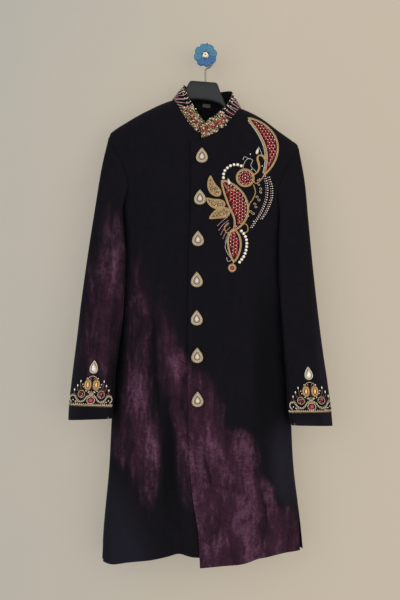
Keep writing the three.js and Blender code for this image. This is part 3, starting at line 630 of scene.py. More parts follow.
def collar_point(u, v):
    x = np.clip(curve(COLLAR, u, 1), NECK_RIGHT[0], NECK_LEFT[0])
    top = xyz(curve(COLLAR, u, 3), curve(COLLAR, u, 4), curve(COLLAR, u, 5))
    stations = [row[0] for row in COLLAR if row[1] in (NECK_RIGHT[0], NECK_LEFT[0])]
    z_right, z_left = top_line(NECK_SEAM_RIGHT)(x), top_line(NECK_SEAM_LEFT)(x)
    z_back = top_line(NECK_SEAM_BACK)(x)
    right = xyz(x, coat_y(x, z_right, -1) + underlap_drop(x, z_right), z_right)
    left = xyz(x, coat_y(x, z_left, -1), z_left)
    behind = xyz(x, coat_y(x, z_back, 1), z_back)
    foot = np.where((u < stations[0])[..., None], right, np.where((u > stations[1])[..., None], left, behind))
    height = np.linalg.norm(top - foot, axis=-1, keepdims=True)
    share = mix(COLLAR_GAP / height, 1, np.asarray(v, float)[..., None])
    return mix(foot, top, share)


NECK_MIDDLE = np.array([2.0, -62.0, -150.0])


def collar_normal(u, v):
    step = 2e-3
    across = collar_point(np.minimum(u + step, 1), v) - collar_point(np.maximum(u - step, 0), v)
    up = collar_point(u, np.minimum(v + 0.05, 1)) - collar_point(u, np.maximum(v - 0.05, 0))
    n = unit(np.cross(across, up))
    away = collar_point(u, v) - NECK_MIDDLE
    return np.where((n * away).sum(-1, keepdims=True) < 0, -n, n)


# ---------------------------------------------------------------- finishes


def colour(code):
    """Linear colour of an sRGB hex code."""
    values = [int(code[i : i + 2], 16) / 255 for i in (1, 3, 5)]
    return [v / 12.92 if v <= 0.04045 else ((v + 0.055) / 1.055) ** 2.4 for v in values] + [1.0]


def new_material(name):
    material = bpy.data.materials.new(name)
    material.use_nodes = True
    tree = material.node_tree
    tree.nodes.clear()
    return material, tree


def add(tree, kind, inputs=None, **settings):
    """A node with its settings. inputs gives a socket its value, or the output that is linked to it."""
    node = tree.nodes.new(kind)
    for key, value in settings.items():
        setattr(node, key, value)
    for socket, value in (inputs or {}).items():
        if isinstance(value, bpy.types.NodeSocket):
            tree.links.new(value, node.inputs[socket])
        else:
            node.inputs[socket].default_value = value
    return node


def plain(name, code, roughness, metallic=0.0, specular=0.5, coat=0.0):
    material, tree = new_material(name)
    surface = {
        "Base Color": colour(code),
        "Roughness": roughness,
        "Metallic": metallic,
        "Specular IOR Level": specular,
        "Coat Weight": coat,
        "Coat Roughness": 0.08,
    }
    shader = add(tree, "ShaderNodeBsdfPrincipled", surface)
    add(tree, "ShaderNodeOutputMaterial", {0: shader.outputs[0]})
    return material


# Layers of the velvet's pile: scale, detail, distortion, stretch and roughness.
PILE = {
    "broad": (9, 2, 0.4, (1.3, 1, 0.5), 0.55),  # patches of 100 mm, longer down the cloth
    "streaks": (30, 4, 0.5, (1.6, 1, 0.32), 0.6),  # brushed streaks of 30 mm
    "mottled": (52, 5, 0.9, (1, 1, 0.7), 0.62),  # crushed patches of 20 mm
    "crackle": (80, 4, 1.2, (0.7, 1, 1.3), 0.6),  # crushed pile of 12 mm, running more across than down
    "crumple": (22, 4, 0.4, (1.2, 1, 0.5), 0.6),  # creases some 40 mm apart
    "tufts": (900, 2, 0, (1, 1, 1), 0.55),  # single tufts of 1 mm
}
# Thin ridges where a layer passes its middle: the layer and the ridge's sharpness.
RIDGES = {"fine": ("crackle", 10), "coarse": ("crumple", 16)}
# How much each layer lightens the plum, the coarse and fine ridges as painted highlights on the crests of
# crinkles, and its depth in millimetres on black and what plum adds to that.
TONES = {"mottled": 0.42, "broad": 0.6, "streaks": 0.6, "coarse": 0.08, "fine": 0.09}
DEPTHS = {"mottled": (1.2, 3.4), "crackle": (0.4, 1.4), "coarse": (0.4, 1.6), "tufts": (0.1, 0.0)}
MATH = "ShaderNodeMath"
BLEND = "ShaderNodeMix"


def velvet(name):
    """Crushed velvet: near-black, with painted plum light, painted sheen and painted shade read from the nap
    attribute (plum, pale, dark).
    """
    material, tree = new_material(name)
    place = add(tree, "ShaderNodeTexCoord").outputs["Object"]
    nap = add(tree, "ShaderNodeAttribute", attribute_name="nap").outputs["Color"]
    # plum is painted light, pale is painted sheen, dark is painted shade.
    plum, pale, dark = add(tree, "ShaderNodeSeparateColor", {0: nap}).outputs
    layer = {}
    for key, (scale, detail, distortion, stretch, roughness) in PILE.items():
        moved = add(tree, "ShaderNodeMapping", {0: place, "Scale": stretch}).outputs[0]
        grain = {0: moved, "Scale": scale, "Detail": detail, "Distortion": distortion, "Roughness": roughness}
        layer[key] = add(tree, "ShaderNodeTexNoise", grain).outputs["Fac"]
    for key, (source, sharpness) in RIDGES.items():
        off = add(tree, MATH, {0: layer[source], 1: 0.5}, operation="SUBTRACT").outputs[0]
        away = add(tree, MATH, {0: off}, operation="ABSOLUTE").outputs[0]
        crest = {0: away, 1: -sharpness, 2: 1.0}
        layer[key] = add(tree, MATH, crest, operation="MULTIPLY_ADD", use_clamp=True).outputs[0]
    # Ragged edges: the plum painted light fades through the streaks, most where it is half as strong as it
    # gets.
    fading = add(tree, MATH, {0: 1.15, 1: plum}, operation="SUBTRACT").outputs[0]
    edge = add(tree, MATH, {0: plum, 1: fading}, operation="MULTIPLY").outputs[0]
    raggedness = add(tree, MATH, {0: edge, 1: 5.0}, operation="MULTIPLY").outputs[0]
    off = add(tree, MATH, {0: layer["streaks"], 1: 0.5}, operation="SUBTRACT").outputs[0]
    ragged = add(tree, MATH, {0: off, 1: raggedness, 2: plum}, operation="MULTIPLY_ADD").outputs[0]
    full = {0: ragged, "From Min": 0.0, "From Max": 1.0}
    plum_light_share = add(tree, "ShaderNodeMapRange", full, interpolation_type="SMOOTHSTEP").outputs[0]
    # The plum of the painted light, darker where the pile is laid over, with painted highlights on the crests
    # of its crinkles.
    tone = 0.0
    for key, share in TONES.items():
        tone = add(tree, MATH, {0: layer[key], 1: share, 2: tone}, operation="MULTIPLY_ADD").outputs[0]
    reach = {0: tone, "From Min": 0.52, "From Max": 1.34}
    tone = add(tree, "ShaderNodeMapRange", reach, interpolation_type="SMOOTHSTEP").outputs[0]
    plum_ramp = add(tree, "ShaderNodeValToRGB", {0: tone})
    stops = plum_ramp.color_ramp.elements
    stops[0].color, stops[1].color = colour("#1b0f18"), colour("#66455c")
    stops.new(0.5).color = colour("#361f2e")
    # The black velvet, paler under the painted sheen, and warmer in crushed patches.
    black = {0: pale, "A": colour("#0d0d12"), "B": colour("#201f2a")}
    black = add(tree, BLEND, black, data_type="RGBA").outputs["Result"]
    patches = {0: layer["mottled"], "From Min": 0.35, "From Max": 0.8}
    patches = add(tree, "ShaderNodeMapRange", patches, interpolation_type="SMOOTHSTEP").outputs[0]
    warmth = add(tree, MATH, {0: patches, 1: 0.5}, operation="MULTIPLY").outputs[0]
    warmed = {0: warmth, "A": black, "B": colour("#171219")}
    warmed = add(tree, BLEND, warmed, data_type="RGBA").outputs["Result"]
    # Painted shade takes most of the light from both colours.
    shade = add(tree, MATH, {0: dark, 1: 0.75}, operation="MULTIPLY").outputs[0]
    deep = {0: shade, "A": warmed, "B": colour("#060608")}
    deep = add(tree, BLEND, deep, data_type="RGBA").outputs["Result"]
    lit = add(tree, MATH, {0: 1.0, 1: shade}, operation="SUBTRACT").outputs[0]
    keep = add(tree, MATH, {0: plum_light_share, 1: lit}, operation="MULTIPLY").outputs[0]
    cloth = {0: keep, "A": deep, "B": plum_ramp.outputs[0]}
    cloth = add(tree, BLEND, cloth, data_type="RGBA").outputs["Result"]
    height = 0.0
    for key, (on_black, more_on_plum) in DEPTHS.items():
        depth = {0: plum, 1: more_on_plum * MM, 2: on_black * MM}
        depth = add(tree, MATH, depth, operation="MULTIPLY_ADD").outputs[0]
        height = add(tree, MATH, {0: layer[key], 1: depth, 2: height}, operation="MULTIPLY_ADD").outputs[0]
    bump = add(tree, "ShaderNodeBump", {"Height": height, "Strength": 0.9, "Distance": 1.0})
    surface = {
        "Base Color": cloth,
        "Normal": bump.outputs[0],
        "Roughness": 0.85,
        "Specular IOR Level": 0.06,
        "Sheen Weight": 0.045,
        "Sheen Roughness": 0.45,
        "Sheen Tint": colour("#8c86a0"),
    }
    shader = add(tree, "ShaderNodeBsdfPrincipled", surface)
    add(tree, "ShaderNodeOutputMaterial", {0: shader.outputs[0]})
    return material


VELVET = velvet("velvet crushed nap")
# The backing cloth of the pile, woven and without nap: flat black.
LINING = plain("velvet wrong side", "#121116", 0.9, specular=0.1)
# Drawn wire, coiled and couched: dull gold that gleams in short broken lengths.
GOLD = plain("gold wire", "#a68856", 0.42, 0.35)
BRONZE = plain("dulled bronze rims", "#6f6048", 0.5, 0.3)
# Pressed glass beads, lustred or opaque: a small soft highlight on each.
PALE_GOLD = plain("pale gold beads", "#cdbb99", 0.38, 0.2)
SILVER = plain("silver beads", "#cfcdca", 0.25, 0.7)
PINK = plain("pink beads", "#c7a2a2", 0.35, 0.1)
MAROON = plain("maroon beads", "#6a1c2a", 0.35, specular=0.35, coat=0.1)
PEARL = plain("pearls", "#e9e2d4", 0.25, coat=0.6)
WINE = plain("dark red ground", "#3d1219", 0.6, specular=0.2)
# Cut and foiled glass: clear facets over a deep or a pale colour.
RUBY = plain("ruby stones", "#94161f", 0.2, specular=0.35, coat=0.25)
AMBER = plain("amber stones", "#d79a3c", 0.12, 0.2, coat=1.0)
KUNDAN = plain("foiled stones", "#cdc8c0", 0.16, 0.1, coat=0.6)
# Moulded plastics: even colour with a satin or a soft gloss.
HANGER_GREY = plain("hanger satin plastic", "#1f2226", 0.5, specular=0.3)
PLASTIC = plain("base plate plastic", "#ddd8cb", 0.4)
BLUE = plain("petals upper blue", "#34708f", 0.5)
# The lower petals take a darker copy of the blue: painted shade.
SHADED_BLUE = plain("petals lower blue", "#255a8c", 0.5)
CREAM = plain("flower centre cream", "#eadfc9", 0.4)
RUST = plain("flower centre dot", "#b5652a", 0.45)
# Bent steel wire and a browned nail, both dulled by handling.
STEEL = plain("dulled steel wire", "#77797c", 0.4, 1.0)
NAIL = plain("nail brown metal", "#5b4334", 0.45, 0.6)
LABEL = plain("plain woven label", "#5f5c56", 0.85)

# ---------------------------------------------------------------- meshes


def mesh_from(name, points, faces, materials, smooth_faces=True, uvs=None):
    """A mesh object from points in millimetres and faces of equal size."""
    faces = np.asarray(faces, np.int32)
    mesh = bpy.data.meshes.new(name)
    mesh.vertices.add(len(points))
    mesh.vertices.foreach_set("co", (np.asarray(points, np.float32) * MM).ravel())
    mesh.loops.add(faces.size)
    mesh.loops.foreach_set("vertex_index", faces.ravel())
    mesh.polygons.add(len(faces))
    mesh.polygons.foreach_set("loop_start", np.arange(0, faces.size, faces.shape[1], dtype=np.int32))
    mesh.polygons.foreach_set("use_smooth", np.full(len(faces), smooth_faces))
    if uvs is not None:
        layer = mesh.uv_layers.new(name="UVMap")
        layer.data.foreach_set("uv", np.asarray(uvs, np.float32)[faces.ravel()].ravel())
    mesh.update(calc_edges=True)
    mesh.validate()
    for material in materials:
        mesh.materials.append(material)
    made = bpy.data.objects.new(name, mesh)
    bpy.context.scene.collection.objects.link(made)
    return made


def outward(points, faces):
    """The faces, turned round where the body they close would be inside out."""
    a, b, c = points[faces[:, 0]], points[faces[:, 1]], points[faces[:, 2]]
    volume = (a * np.cross(b, c)).sum()
    if faces.shape[1] == 4:
        volume += (a * np.cross(c, points[faces[:, 3]])).sum()
    return faces[:, ::-1] if volume < 0 else faces


def grid_faces(rows, columns, start=0):
    i = np.arange(rows * columns).reshape(rows, columns) + start
    return np.stack([i[:-1, :-1], i[:-1, 1:], i[1:, 1:], i[1:, :-1]], -1).reshape(-1, 4)


def shell(name, outer, normals, thickness, nap, turning=0.0):
    """A thin closed shell from a grid of points and its normals. turning moves its inner points."""
    rows, columns = outer.shape[:2]
    inner = outer - normals * thickness + turning
    size = rows * columns
    points = np.concatenate([outer.reshape(-1, 3), inner.reshape(-1, 3)])
    front = grid_faces(rows, columns)
    behind = grid_faces(rows, columns, size)[:, ::-1]
    i = np.arange(size).reshape(rows, columns)
    loop = np.concatenate([i[0, :-1], i[:-1, -1], i[-1, :0:-1], i[:0:-1, 0]])
    after = np.roll(loop, -1)
    rim = np.stack([after, loop, loop + size, after + size], -1)
    faces = outward(points, np.concatenate([front, behind, rim]))
    across = np.linalg.norm(np.diff(outer, axis=1), axis=-1).cumsum(1)
    down = np.linalg.norm(np.diff(outer, axis=0), axis=-1).cumsum(0)
    u = np.concatenate([np.zeros((rows, 1)), across], 1)
    v = np.concatenate([np.zeros((1, columns)), down], 0)
    uv = np.tile(np.stack([u, v], -1).reshape(-1, 2) * MM, (2, 1))
    made = mesh_from(name, points, faces, [VELVET, LINING], uvs=uv)
    mesh = made.data
    slots = np.zeros(len(faces), np.int32)
    slots[len(front) : len(front) * 2] = 1
    mesh.polygons.foreach_set("material_index", slots)
    edges = np.zeros(len(mesh.edges) * 2, np.int32)
    mesh.edges.foreach_get("vertices", edges)
    edges = np.sort(edges.reshape(-1, 2), 1)
    border = np.sort(np.stack([loop, after], -1), 1)
    border = np.concatenate([border, border + size])
    keys = edges[:, 0].astype(np.int64) * (2 * size) + edges[:, 1]
    border_keys = border[:, 0].astype(np.int64) * (2 * size) + border[:, 1]
    sharp = mesh.attributes.new("sharp_edge", "BOOLEAN", "EDGE")
    sharp.data.foreach_set("value", np.isin(keys, border_keys))
    # The outer side carries the velvet's painted light, sheen and shade in the nap attribute; the inner side
    # carries none.
    colours = np.ones((2 * size, 4), np.float32)
    colours[:size, :3] = nap.reshape(-1, 3)
    colours[size:, :3] = 0
    layer = mesh.attributes.new("nap", "FLOAT_COLOR", "POINT")
    layer.data.foreach_set("color", colours.ravel())
    return made


def bands(tables, x, z, spread=0.8):
    """Strength of painted light and shade areas at x, z, each a table of rows down the cloth."""
    made = np.zeros(np.broadcast(x, z).shape)
    for rows in tables:
        heights = [row[0] for row in rows]
        left, right, strength, soft = (curve(rows, z, column) for column in (1, 2, 3, 4))
        inside = smooth((x - left) / soft, -spread, spread) * smooth((right - x) / soft, -spread, spread)
        reach = (z <= max(heights)) & (z >= min(heights))
        made = np.maximum(made, inside * np.clip(strength, 0, 1) * reach)
    return made


# The velvet's painted light (plum), painted sheen (pale) and painted shade (dark) at each point.
def painted_light_of(points, plum_light_tables, front=True):
    x, z = points[..., 0], points[..., 2]
    facing = 1.0 if front else 0.0
    plum = bands(plum_light_tables, x, z, 1.3)
    return np.stack([plum, bands(PAINTED_SHEEN, x, z) * facing, bands(PAINTED_SHADE, x, z) * facing], -1)


def run_length(line):
    """The way along a line of points to each of them."""
    return np.concatenate([[0], np.linalg.norm(np.diff(line, axis=0), axis=-1).cumsum()])


def even_steps(point, start, end, count, samples, margin=0.0):
    """Places from start to end across a sheet that are evenly far apart on the cloth, low on its body."""
    s = np.linspace(start, end, samples)
    length = run_length(point(s, np.full_like(s, 0.6)))
    return np.interp(np.linspace(margin, length[-1] - margin, count), length, s)


def panel_piece(name, point, columns, rows, face, plum_light_tables):
    s, w = np.meshgrid(even_steps(point, 0, 1, columns, 400), np.linspace(0, 1, rows))
    points = point(s, w)
    away = xyz(points[..., 0] / 100, float(face), 0.01)
    normals = sheet_normals(points, away)
    return shell(name, points, normals, CLOTH, painted_light_of(points, plum_light_tables, face < 0))


def sleeve_piece(name, point, start, end, columns, rows, plum_light_tables):
    q = even_steps(point, start, end, columns, 60, SLEEVE_SEAM / 2)
    q, v = np.meshgrid(q, np.linspace(0, 1, rows))
    base = point(q, v)
    normals = sleeve_normal(point, q, v)
    points = base + normals * sleeve_lift(q, v)[..., None]
    normals = sheet_normals(points, normals)
    return shell(name, points, normals, CLOTH, painted_light_of(points, plum_light_tables))


def collar_piece():
    u, v = np.meshgrid(np.linspace(0, 1, 220), np.linspace(0, 1, 14))
    points = collar_point(u, v)
    nap = np.zeros(points.shape)
    # The collar's inner side is turned down behind the neck seam, which closes it.
    turning = np.zeros(points.shape)
    turning[0] = unit(points[0] - points[1]) * NECK_TURNING
    return shell("cloth_collar", points, collar_normal(u, v), COLLAR_WALL, nap, turning)


pieces = {
    "front_left": panel_piece("cloth_front_left", front_left, 100, 330, -1, [PLUM_LIGHT_FRONT_LEFT]),
    "front_right": panel_piece(
        "cloth_front_right", front_right, 100, 330, -1, [PLUM_LIGHT_COLUMN, PLUM_LIGHT_FRONT_EDGE]
    ),
    "back": panel_piece("cloth_back", back, 110, 210, 1, []),
    "collar": collar_piece(),
}
# The right sleeve carries plum painted light; the left carries none.
for side_name, surface, lit_patches in (("right", sleeve_right, [PLUM_LIGHT_SLEEVE]), ("left", sleeve_left, [])):
    for half, start, end, columns in (
        ("upper", -BACK_SEAM, FRONT_SEAM, 56),
        ("under", FRONT_SEAM, 2 - BACK_SEAM, 50),
    ):
        node = f"sleeve_{side_name}_{half}"
        pieces[node] = sleeve_piece(f"cloth_{node}", surface, start, end, columns, 200, lit_patches)

# Width, length and area of each cut in metres.
CUTS = {
    "front_left": ((0.33, 1.06), 0.29, "hung"),
    "front_right": ((0.33, 1.07), 0.29, "hung"),
    "back": ((0.52, 1.07), 0.48, "hung"),
    "collar": ((0.42, 0.06), 0.016, "hung"),
    "sleeve_right_upper": ((0.17, 0.66), 0.09, "hung"),
    "sleeve_right_under": ((0.13, 0.64), 0.07, "hung"),
    "sleeve_left_upper": ((0.17, 0.66), 0.09, "hung"),
    "sleeve_left_under": ((0.13, 0.64), 0.07, "hung"),
}
for node, piece in pieces.items():
    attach(piece, "root")
    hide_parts(node)
    flat, area, held = CUTS[node]

# ---------------------------------------------------------------- beads, stones and wire

def icosphere():
    g = (1 + 5**0.5) / 2
    points = unit(np.array([(-1, g, 0), (1, g, 0), (-1, -g, 0), (1, -g, 0), (0, -1, g), (0, 1, g),
                            (0, -1, -g), (0, 1, -g), (g, 0, -1), (g, 0, 1), (-g, 0, -1), (-g, 0, 1)], float))
    faces = np.array([(0, 11, 5), (0, 5, 1), (0, 1, 7), (0, 7, 10), (0, 10, 11), (1, 5, 9), (5, 11, 4),
                      (11, 10, 2), (10, 7, 6), (7, 1, 8), (3, 9, 4), (3, 4, 2), (3, 2, 6), (3, 6, 8),
                      (3, 8, 9), (4, 9, 5), (2, 4, 11), (6, 2, 10), (8, 6, 7), (9, 8, 1)])
    return points, faces


def ring_stack(outline, levels):
    """Points and triangles of a low stone: its outline on each level (scale, height), and a flat top."""
    outline = np.asarray(outline, float)
    n = len(outline)
    points = [np.column_stack([outline * scale, np.full(n, up)]) for scale, up in levels]
    points.append(np.array([[0, 0, levels[-1][1]]]))
    faces = []
    for r in range(len(levels) - 1):
        for i in range(n):
            a, b, c, d = r * n + i, r * n + (i + 1) % n, (r + 1) * n + (i + 1) % n, (r + 1) * n + i
            faces += [(a, b, c), (a, c, d)]
    top = (len(levels) - 1) * n
    faces += [(top + i, top + (i + 1) % n, len(levels) * n) for i in range(n)]
    return np.concatenate(points), np.array(faces)


def oval(count):
    a = np.linspace(0, 2 * math.pi, count, endpoint=False)
    return np.column_stack([np.cos(a), np.sin(a)])


def drop(count):
    """A drop one unit wide and high, with its tip at +y."""
    a = np.linspace(0, 2 * math.pi, count, endpoint=False)
    return np.column_stack([0.5 * np.sin(a) * np.sin(a / 2) / 0.77, 0.5 * np.cos(a)])


BEAD, STONE, PENDANT_STONE, DROP_STONE, DROP_PLATE = range(5)
SHAPES = [
    icosphere(),
    ring_stack(oval(8), [(1, 0), (1, 0.35), (0.62, 1)]),
    ring_stack(oval(12), [(1, 0), (1, 0.3), (0.62, 1)]),
    ring_stack(drop(16), [(1, 0), (1, 0.35), (0.6, 1)]),
    ring_stack(drop(40), [(1, 0), (1, 0.7), (0.94, 1)]),
]
shape_collection = bpy.data.collections.new("bead and stone shapes")
for index, (points, faces) in enumerate(SHAPES):
    shape = mesh_from(f"shape_{index}", points, faces, [])
    bpy.context.scene.collection.objects.unlink(shape)
    shape_collection.objects.link(shape)


# What each stitch keeps besides its place.
STORED = {"up": "FLOAT_VECTOR", "along": "FLOAT_VECTOR", "size": "FLOAT_VECTOR", "shape": "INT"}


def sewing_tree():
    """Sews one of the shapes on every point, stood up, turned and scaled by the point's own attributes."""
    tree = bpy.data.node_groups.new("beads sewn on", "GeometryNodeTree")
    for name, kind in (("Stitches", "Geometry"), ("Shapes", "Collection"), ("Finish", "Material")):
        tree.interface.new_socket(name, in_out="INPUT", socket_type=f"NodeSocket{kind}")
    tree.interface.new_socket("Beadwork", in_out="OUTPUT", socket_type="NodeSocketGeometry")
    given = add(tree, "NodeGroupInput").outputs
    apart = {"Collection": given["Shapes"], "Separate Children": True, "Reset Children": True}
    shapes = add(tree, "GeometryNodeCollectionInfo", apart).outputs[0]
    read = {}
    for name, kind in STORED.items():
        stored = add(tree, "GeometryNodeInputNamedAttribute", {"Name": name}, data_type=kind)
        read[name] = stored.outputs["Attribute"]
    axes = {"Primary Axis": read["up"], "Secondary Axis": read["along"]}
    turned = add(tree, "FunctionNodeAxesToRotation", axes, primary_axis="Z", secondary_axis="X").outputs[0]
    sewn = {
        "Points": given["Stitches"],
        "Instance": shapes,
        "Pick Instance": True,
        "Instance Index": read["shape"],
        "Rotation": turned,
        "Scale": read["size"],
    }
    sewn = add(tree, "GeometryNodeInstanceOnPoints", sewn).outputs[0]
    joined = add(tree, "GeometryNodeRealizeInstances", {0: sewn}).outputs[0]
    finished = {"Geometry": joined, "Material": given["Finish"]}
    finished = add(tree, "GeometryNodeSetMaterial", finished).outputs[0]
    add(tree, "NodeGroupOutput", {0: finished})
    return tree


SEWING = sewing_tree()

FINISHES = {
    "gold": GOLD,
    "pale_gold": PALE_GOLD,
    "bronze": BRONZE,
    "silver": SILVER,
    "mesh": PINK,
    "maroon": MAROON,
    "wine": WINE,
    "pearls": PEARL,
    "white": PEARL,
    "rubies": RUBY,
    "amber": AMBER,
    "stones": KUNDAN,
}
# Beds of small beads: the finishes and their shares.
RED_BED = [("wine", 0.8), ("maroon", 0.2)]
GOLD_BED = [("gold", 0.6), ("amber", 0.12), ("pale_gold", 0.28)]
COLLAR_BED = [("pale_gold", 0.3), ("gold", 0.28), ("bronze", 0.32)]
PETAL_BED = [("rubies", 0.35), ("mesh", 0.35), ("maroon", 0.3)]

DRAWS = np.random.default_rng(7)
work = {}  # by piece name: its finish and its stitches, each a row of place, up, along, size and shape


def stitch(region, finish, shape, at, normal, along, size):
    """Copies of a shape on a surface, its x along, its z up the normal, and each axis scaled by size."""
    at = np.atleast_2d(at)
    rows = [np.broadcast_to(np.atleast_2d(np.asarray(v, float)), at.shape) for v in (normal, along, size)]
    stitches = np.hstack([at, *rows, np.full((len(at), 1), float(shape))])
    work.setdefault(f"{region}_{finish}", (finish, []))[1].append(stitches)


def sew(piece, stitches, finish, rounded):
    """The beads and stones of one finish on their stitches, as a plain mesh."""
    cloud = bpy.data.meshes.new(piece)
    cloud.vertices.add(len(stitches))
    cloud.vertices.foreach_set("co", (stitches[:, :3].astype(np.float32) * MM).ravel())
    for first, name in ((3, "up"), (6, "along"), (9, "size")):
        stored = cloud.attributes.new(name, "FLOAT_VECTOR", "POINT")
        stored.data.foreach_set("vector", stitches[:, first : first + 3].astype(np.float32).ravel())
    stored = cloud.attributes.new("shape", "INT", "POINT")
    stored.data.foreach_set("value", stitches[:, 12].astype(np.int32))
    sewn = bpy.data.objects.new(piece, cloud)
    bpy.context.scene.collection.objects.link(sewn)
    modifier = sewn.modifiers.new("sewing", "NODES")
    modifier.node_group = SEWING
    for name, value in (("Shapes", shape_collection), ("Finish", finish)):
        modifier[SEWING.interface.items_tree[name].identifier] = value
    graph = bpy.context.evaluated_depsgraph_get()
    beadwork = bpy.data.meshes.new_from_object(sewn.evaluated_get(graph), depsgraph=graph)
    sewn.modifiers.clear()
    sewn.data = beadwork
    bpy.data.meshes.remove(cloud)
    for name in STORED.keys() & beadwork.attributes.keys():
        beadwork.attributes.remove(beadwork.attributes[name])
    beadwork.polygons.foreach_set("use_smooth", np.full(len(beadwork.polygons), rounded))
    return sewn


def spline(points, closed=False, count=24):
    """A smooth line through points, as many short steps."""
    p = np.asarray(points, float)
    p = np.vstack([p[-1], p, p[0], p[1]]) if closed else np.vstack([2 * p[0] - p[1], p, 2 * p[-1] - p[-2]])
    t = np.linspace(0, 1, count, endpoint=False)[:, None]
    runs = []
    for k in range(len(p) - 3):
        a, b, c, d = p[k : k + 4]
        runs.append(b + 0.5 * t * (c - a + t * (2 * a - 5 * b + 4 * c - d + t * (3 * (b - c) + d - a))))
    runs.append(p[-2:-1])
    return np.vstack(runs)


def spaced(line, pitch):
    """Points along a line, evenly spaced at about the pitch, and the line's direction at each."""
    length = run_length(line)
    count = max(int(round(length[-1] / pitch)), 1)
    at = np.linspace(0, length[-1], count + 1)
    points, ahead, behind = (
        np.stack([np.interp(at + step, length, line[:, k]) for k in (0, 1)], -1) for step in (0, 0.3, -0.3)
    )
    return points, ahead - behind


def spiral(centre, start, turns, outer, inner):
    a = start + np.linspace(0, turns * 2 * math.pi, 40)
    r = np.linspace(outer, inner, 40)
    return np.column_stack([centre[0] + r * np.cos(a), centre[1] + r * np.sin(a)])


class Ground:
    """A surface to embroider: place maps flat a, b in millimetres to points and normals on the cloth."""

    def __init__(self, region, place):
        self.region, self.place = region, place

    def lift(self, flat, up):
        at, normal = self.place(flat[:, 0], flat[:, 1])
        return at + normal * up, normal

    def beads(self, finish, line, pitch, radius, up=0.4, stretch=1.0):
        """A row of beads along a flat line."""
        flat, direction = spaced(np.asarray(line, float), pitch)
        at, normal = self.lift(flat, up + radius * 0.5)
        ahead, _ = self.lift(flat + unit(direction) * 0.5, up + radius * 0.5)
        stitch(self.region, finish, BEAD, at, normal, ahead - at, (radius * stretch, radius, radius))

    def stones(self, finish, flat, size, angle=0.0, up=0.5, shape=STONE):
        """Single stones or large beads at flat points, turned by an angle."""
        flat = np.atleast_2d(np.asarray(flat, float))
        at, normal = self.lift(flat, up)
        turn = np.column_stack([np.cos(angle) * np.ones(len(flat)), np.sin(angle) * np.ones(len(flat))])
        ahead, _ = self.lift(flat + turn * 0.5, up)
        stitch(self.region, finish, shape, at, normal, ahead - at, size)


def inside(polygon, points):
    """Which points lie inside a closed outline."""
    x, y = points[:, 0:1], points[:, 1:2]
    x0, y0 = polygon[:, 0][None], polygon[:, 1][None]
    x1, y1 = np.roll(polygon, -1, 0)[:, 0][None], np.roll(polygon, -1, 0)[:, 1][None]
    crosses = (y0 > y) != (y1 > y)
    at = x0 + (y - y0) * (x1 - x0) / np.where(np.abs(y1 - y0) < 1e-9, 1e-9, y1 - y0)
    return (crosses & (x < at)).sum(1) % 2 == 1


def hexes(polygon, pitch, turn=0.0):
    """Points of a hexagonal grid inside an outline."""
    centre = polygon.mean(0)
    reach = np.abs(polygon - centre).max() * 1.5
    n = int(reach / pitch) + 1
    i, j = np.meshgrid(np.arange(-n, n + 1), np.arange(-n, n + 1))
    grid = np.column_stack([(i + 0.5 * (j % 2)).ravel(), (j * 0.866).ravel()]) * pitch
    c, s = math.cos(turn), math.sin(turn)
    grid = grid @ np.array([[c, s], [-s, c]]) + centre
    return grid[inside(polygon, grid)]


def shrink(polygon, by):
    """The outline drawn in by a distance along its normals."""
    ahead = np.roll(polygon, -1, 0) - np.roll(polygon, 1, 0)
    n = unit(np.column_stack([-ahead[:, 1], ahead[:, 0]]))
    area = (polygon[:, 0] * np.roll(polygon[:, 1], -1) - np.roll(polygon[:, 0], -1) * polygon[:, 1]).sum()
    return polygon + n * by * (1 if area > 0 else -1)


# ---------------------------------------------------------------- the chest spray


def chest_place(a, b):
    """a is x and b is z on the upper front."""
    step = 1.0

    def at(x, z):
        return xyz(x, coat_y(x, z, -1) + gape_lift(x, z), z)

    point = at(a, b)
    n = unit(np.cross(at(a + step, b) - at(a - step, b), at(a, b + step) - at(a, b - step)))
    return point, np.where(n[..., 1:2] > 0, -n, n)


chest = Ground("spray", chest_place)
# Plates of the spray: a curved spine from foot to tip, its full width, and where it is widest.
PLATES = {
    "crescent": ((131, -284), (182, -204), (96, -153), 32, 0.56),
    "boteh": ((60, -412), (104, -366), (36, -296), 44, 0.62),
    "leaf_1": ((34, -326), (9, -320), (11, -286), 21, 0.36),
    "leaf_2": ((43, -347), (20, -356), (2, -336), 21, 0.36),
    "leaf_3": ((54, -370), (34, -364), (9, -382), 23, 0.36),
    "tail": ((61, -406), (67, -440), (63, -480), 31, 0.44),
}
ROSETTE = np.array([89.0, -290.0])


def plate_outline(foot, bend, tip, width, fullest):
    t = np.linspace(0, 1, 60)[:, None]
    foot, bend, tip = (np.array(p, float) for p in (foot, bend, tip))
    spine = (1 - t) ** 2 * foot + 2 * t * (1 - t) * bend + t * t * tip
    ahead = unit(2 * (1 - t) * (bend - foot) + 2 * t * (tip - bend))
    power = math.log(0.5) / math.log(fullest)
    half = np.clip(np.sin(math.pi * t**power), 0, 1) ** 0.65 * width / 2
    side = np.column_stack([-ahead[:, 1], ahead[:, 0]])
    return np.vstack([spine + side * half, (spine - side * half)[::-1][1:-1]]), spine


def ring_of(outline):
    return np.vstack([outline, outline[:1]])


def bed(ground, outline, tints, pitch, radius, up=0.4):
    """A field packed with small beads, mixed from several finishes by share."""
    places = hexes(outline, pitch, 0.3)
    places = places + DRAWS.normal(0, 0.12 * pitch, places.shape)
    kind = DRAWS.random(len(places))
    start = 0.0
    for finish, share in tints:
        chosen = places[(kind >= start) & (kind < start + share)]
        start += share
        if len(chosen):
            at, normal = ground.lift(chosen, up)
            size = radius * DRAWS.uniform(0.85, 1.15, (len(chosen), 1)) * np.array([1.0, 1.0, 0.8])
            stitch(ground.region, finish, BEAD, at, normal, np.array([1.0, 0, 0]), size)


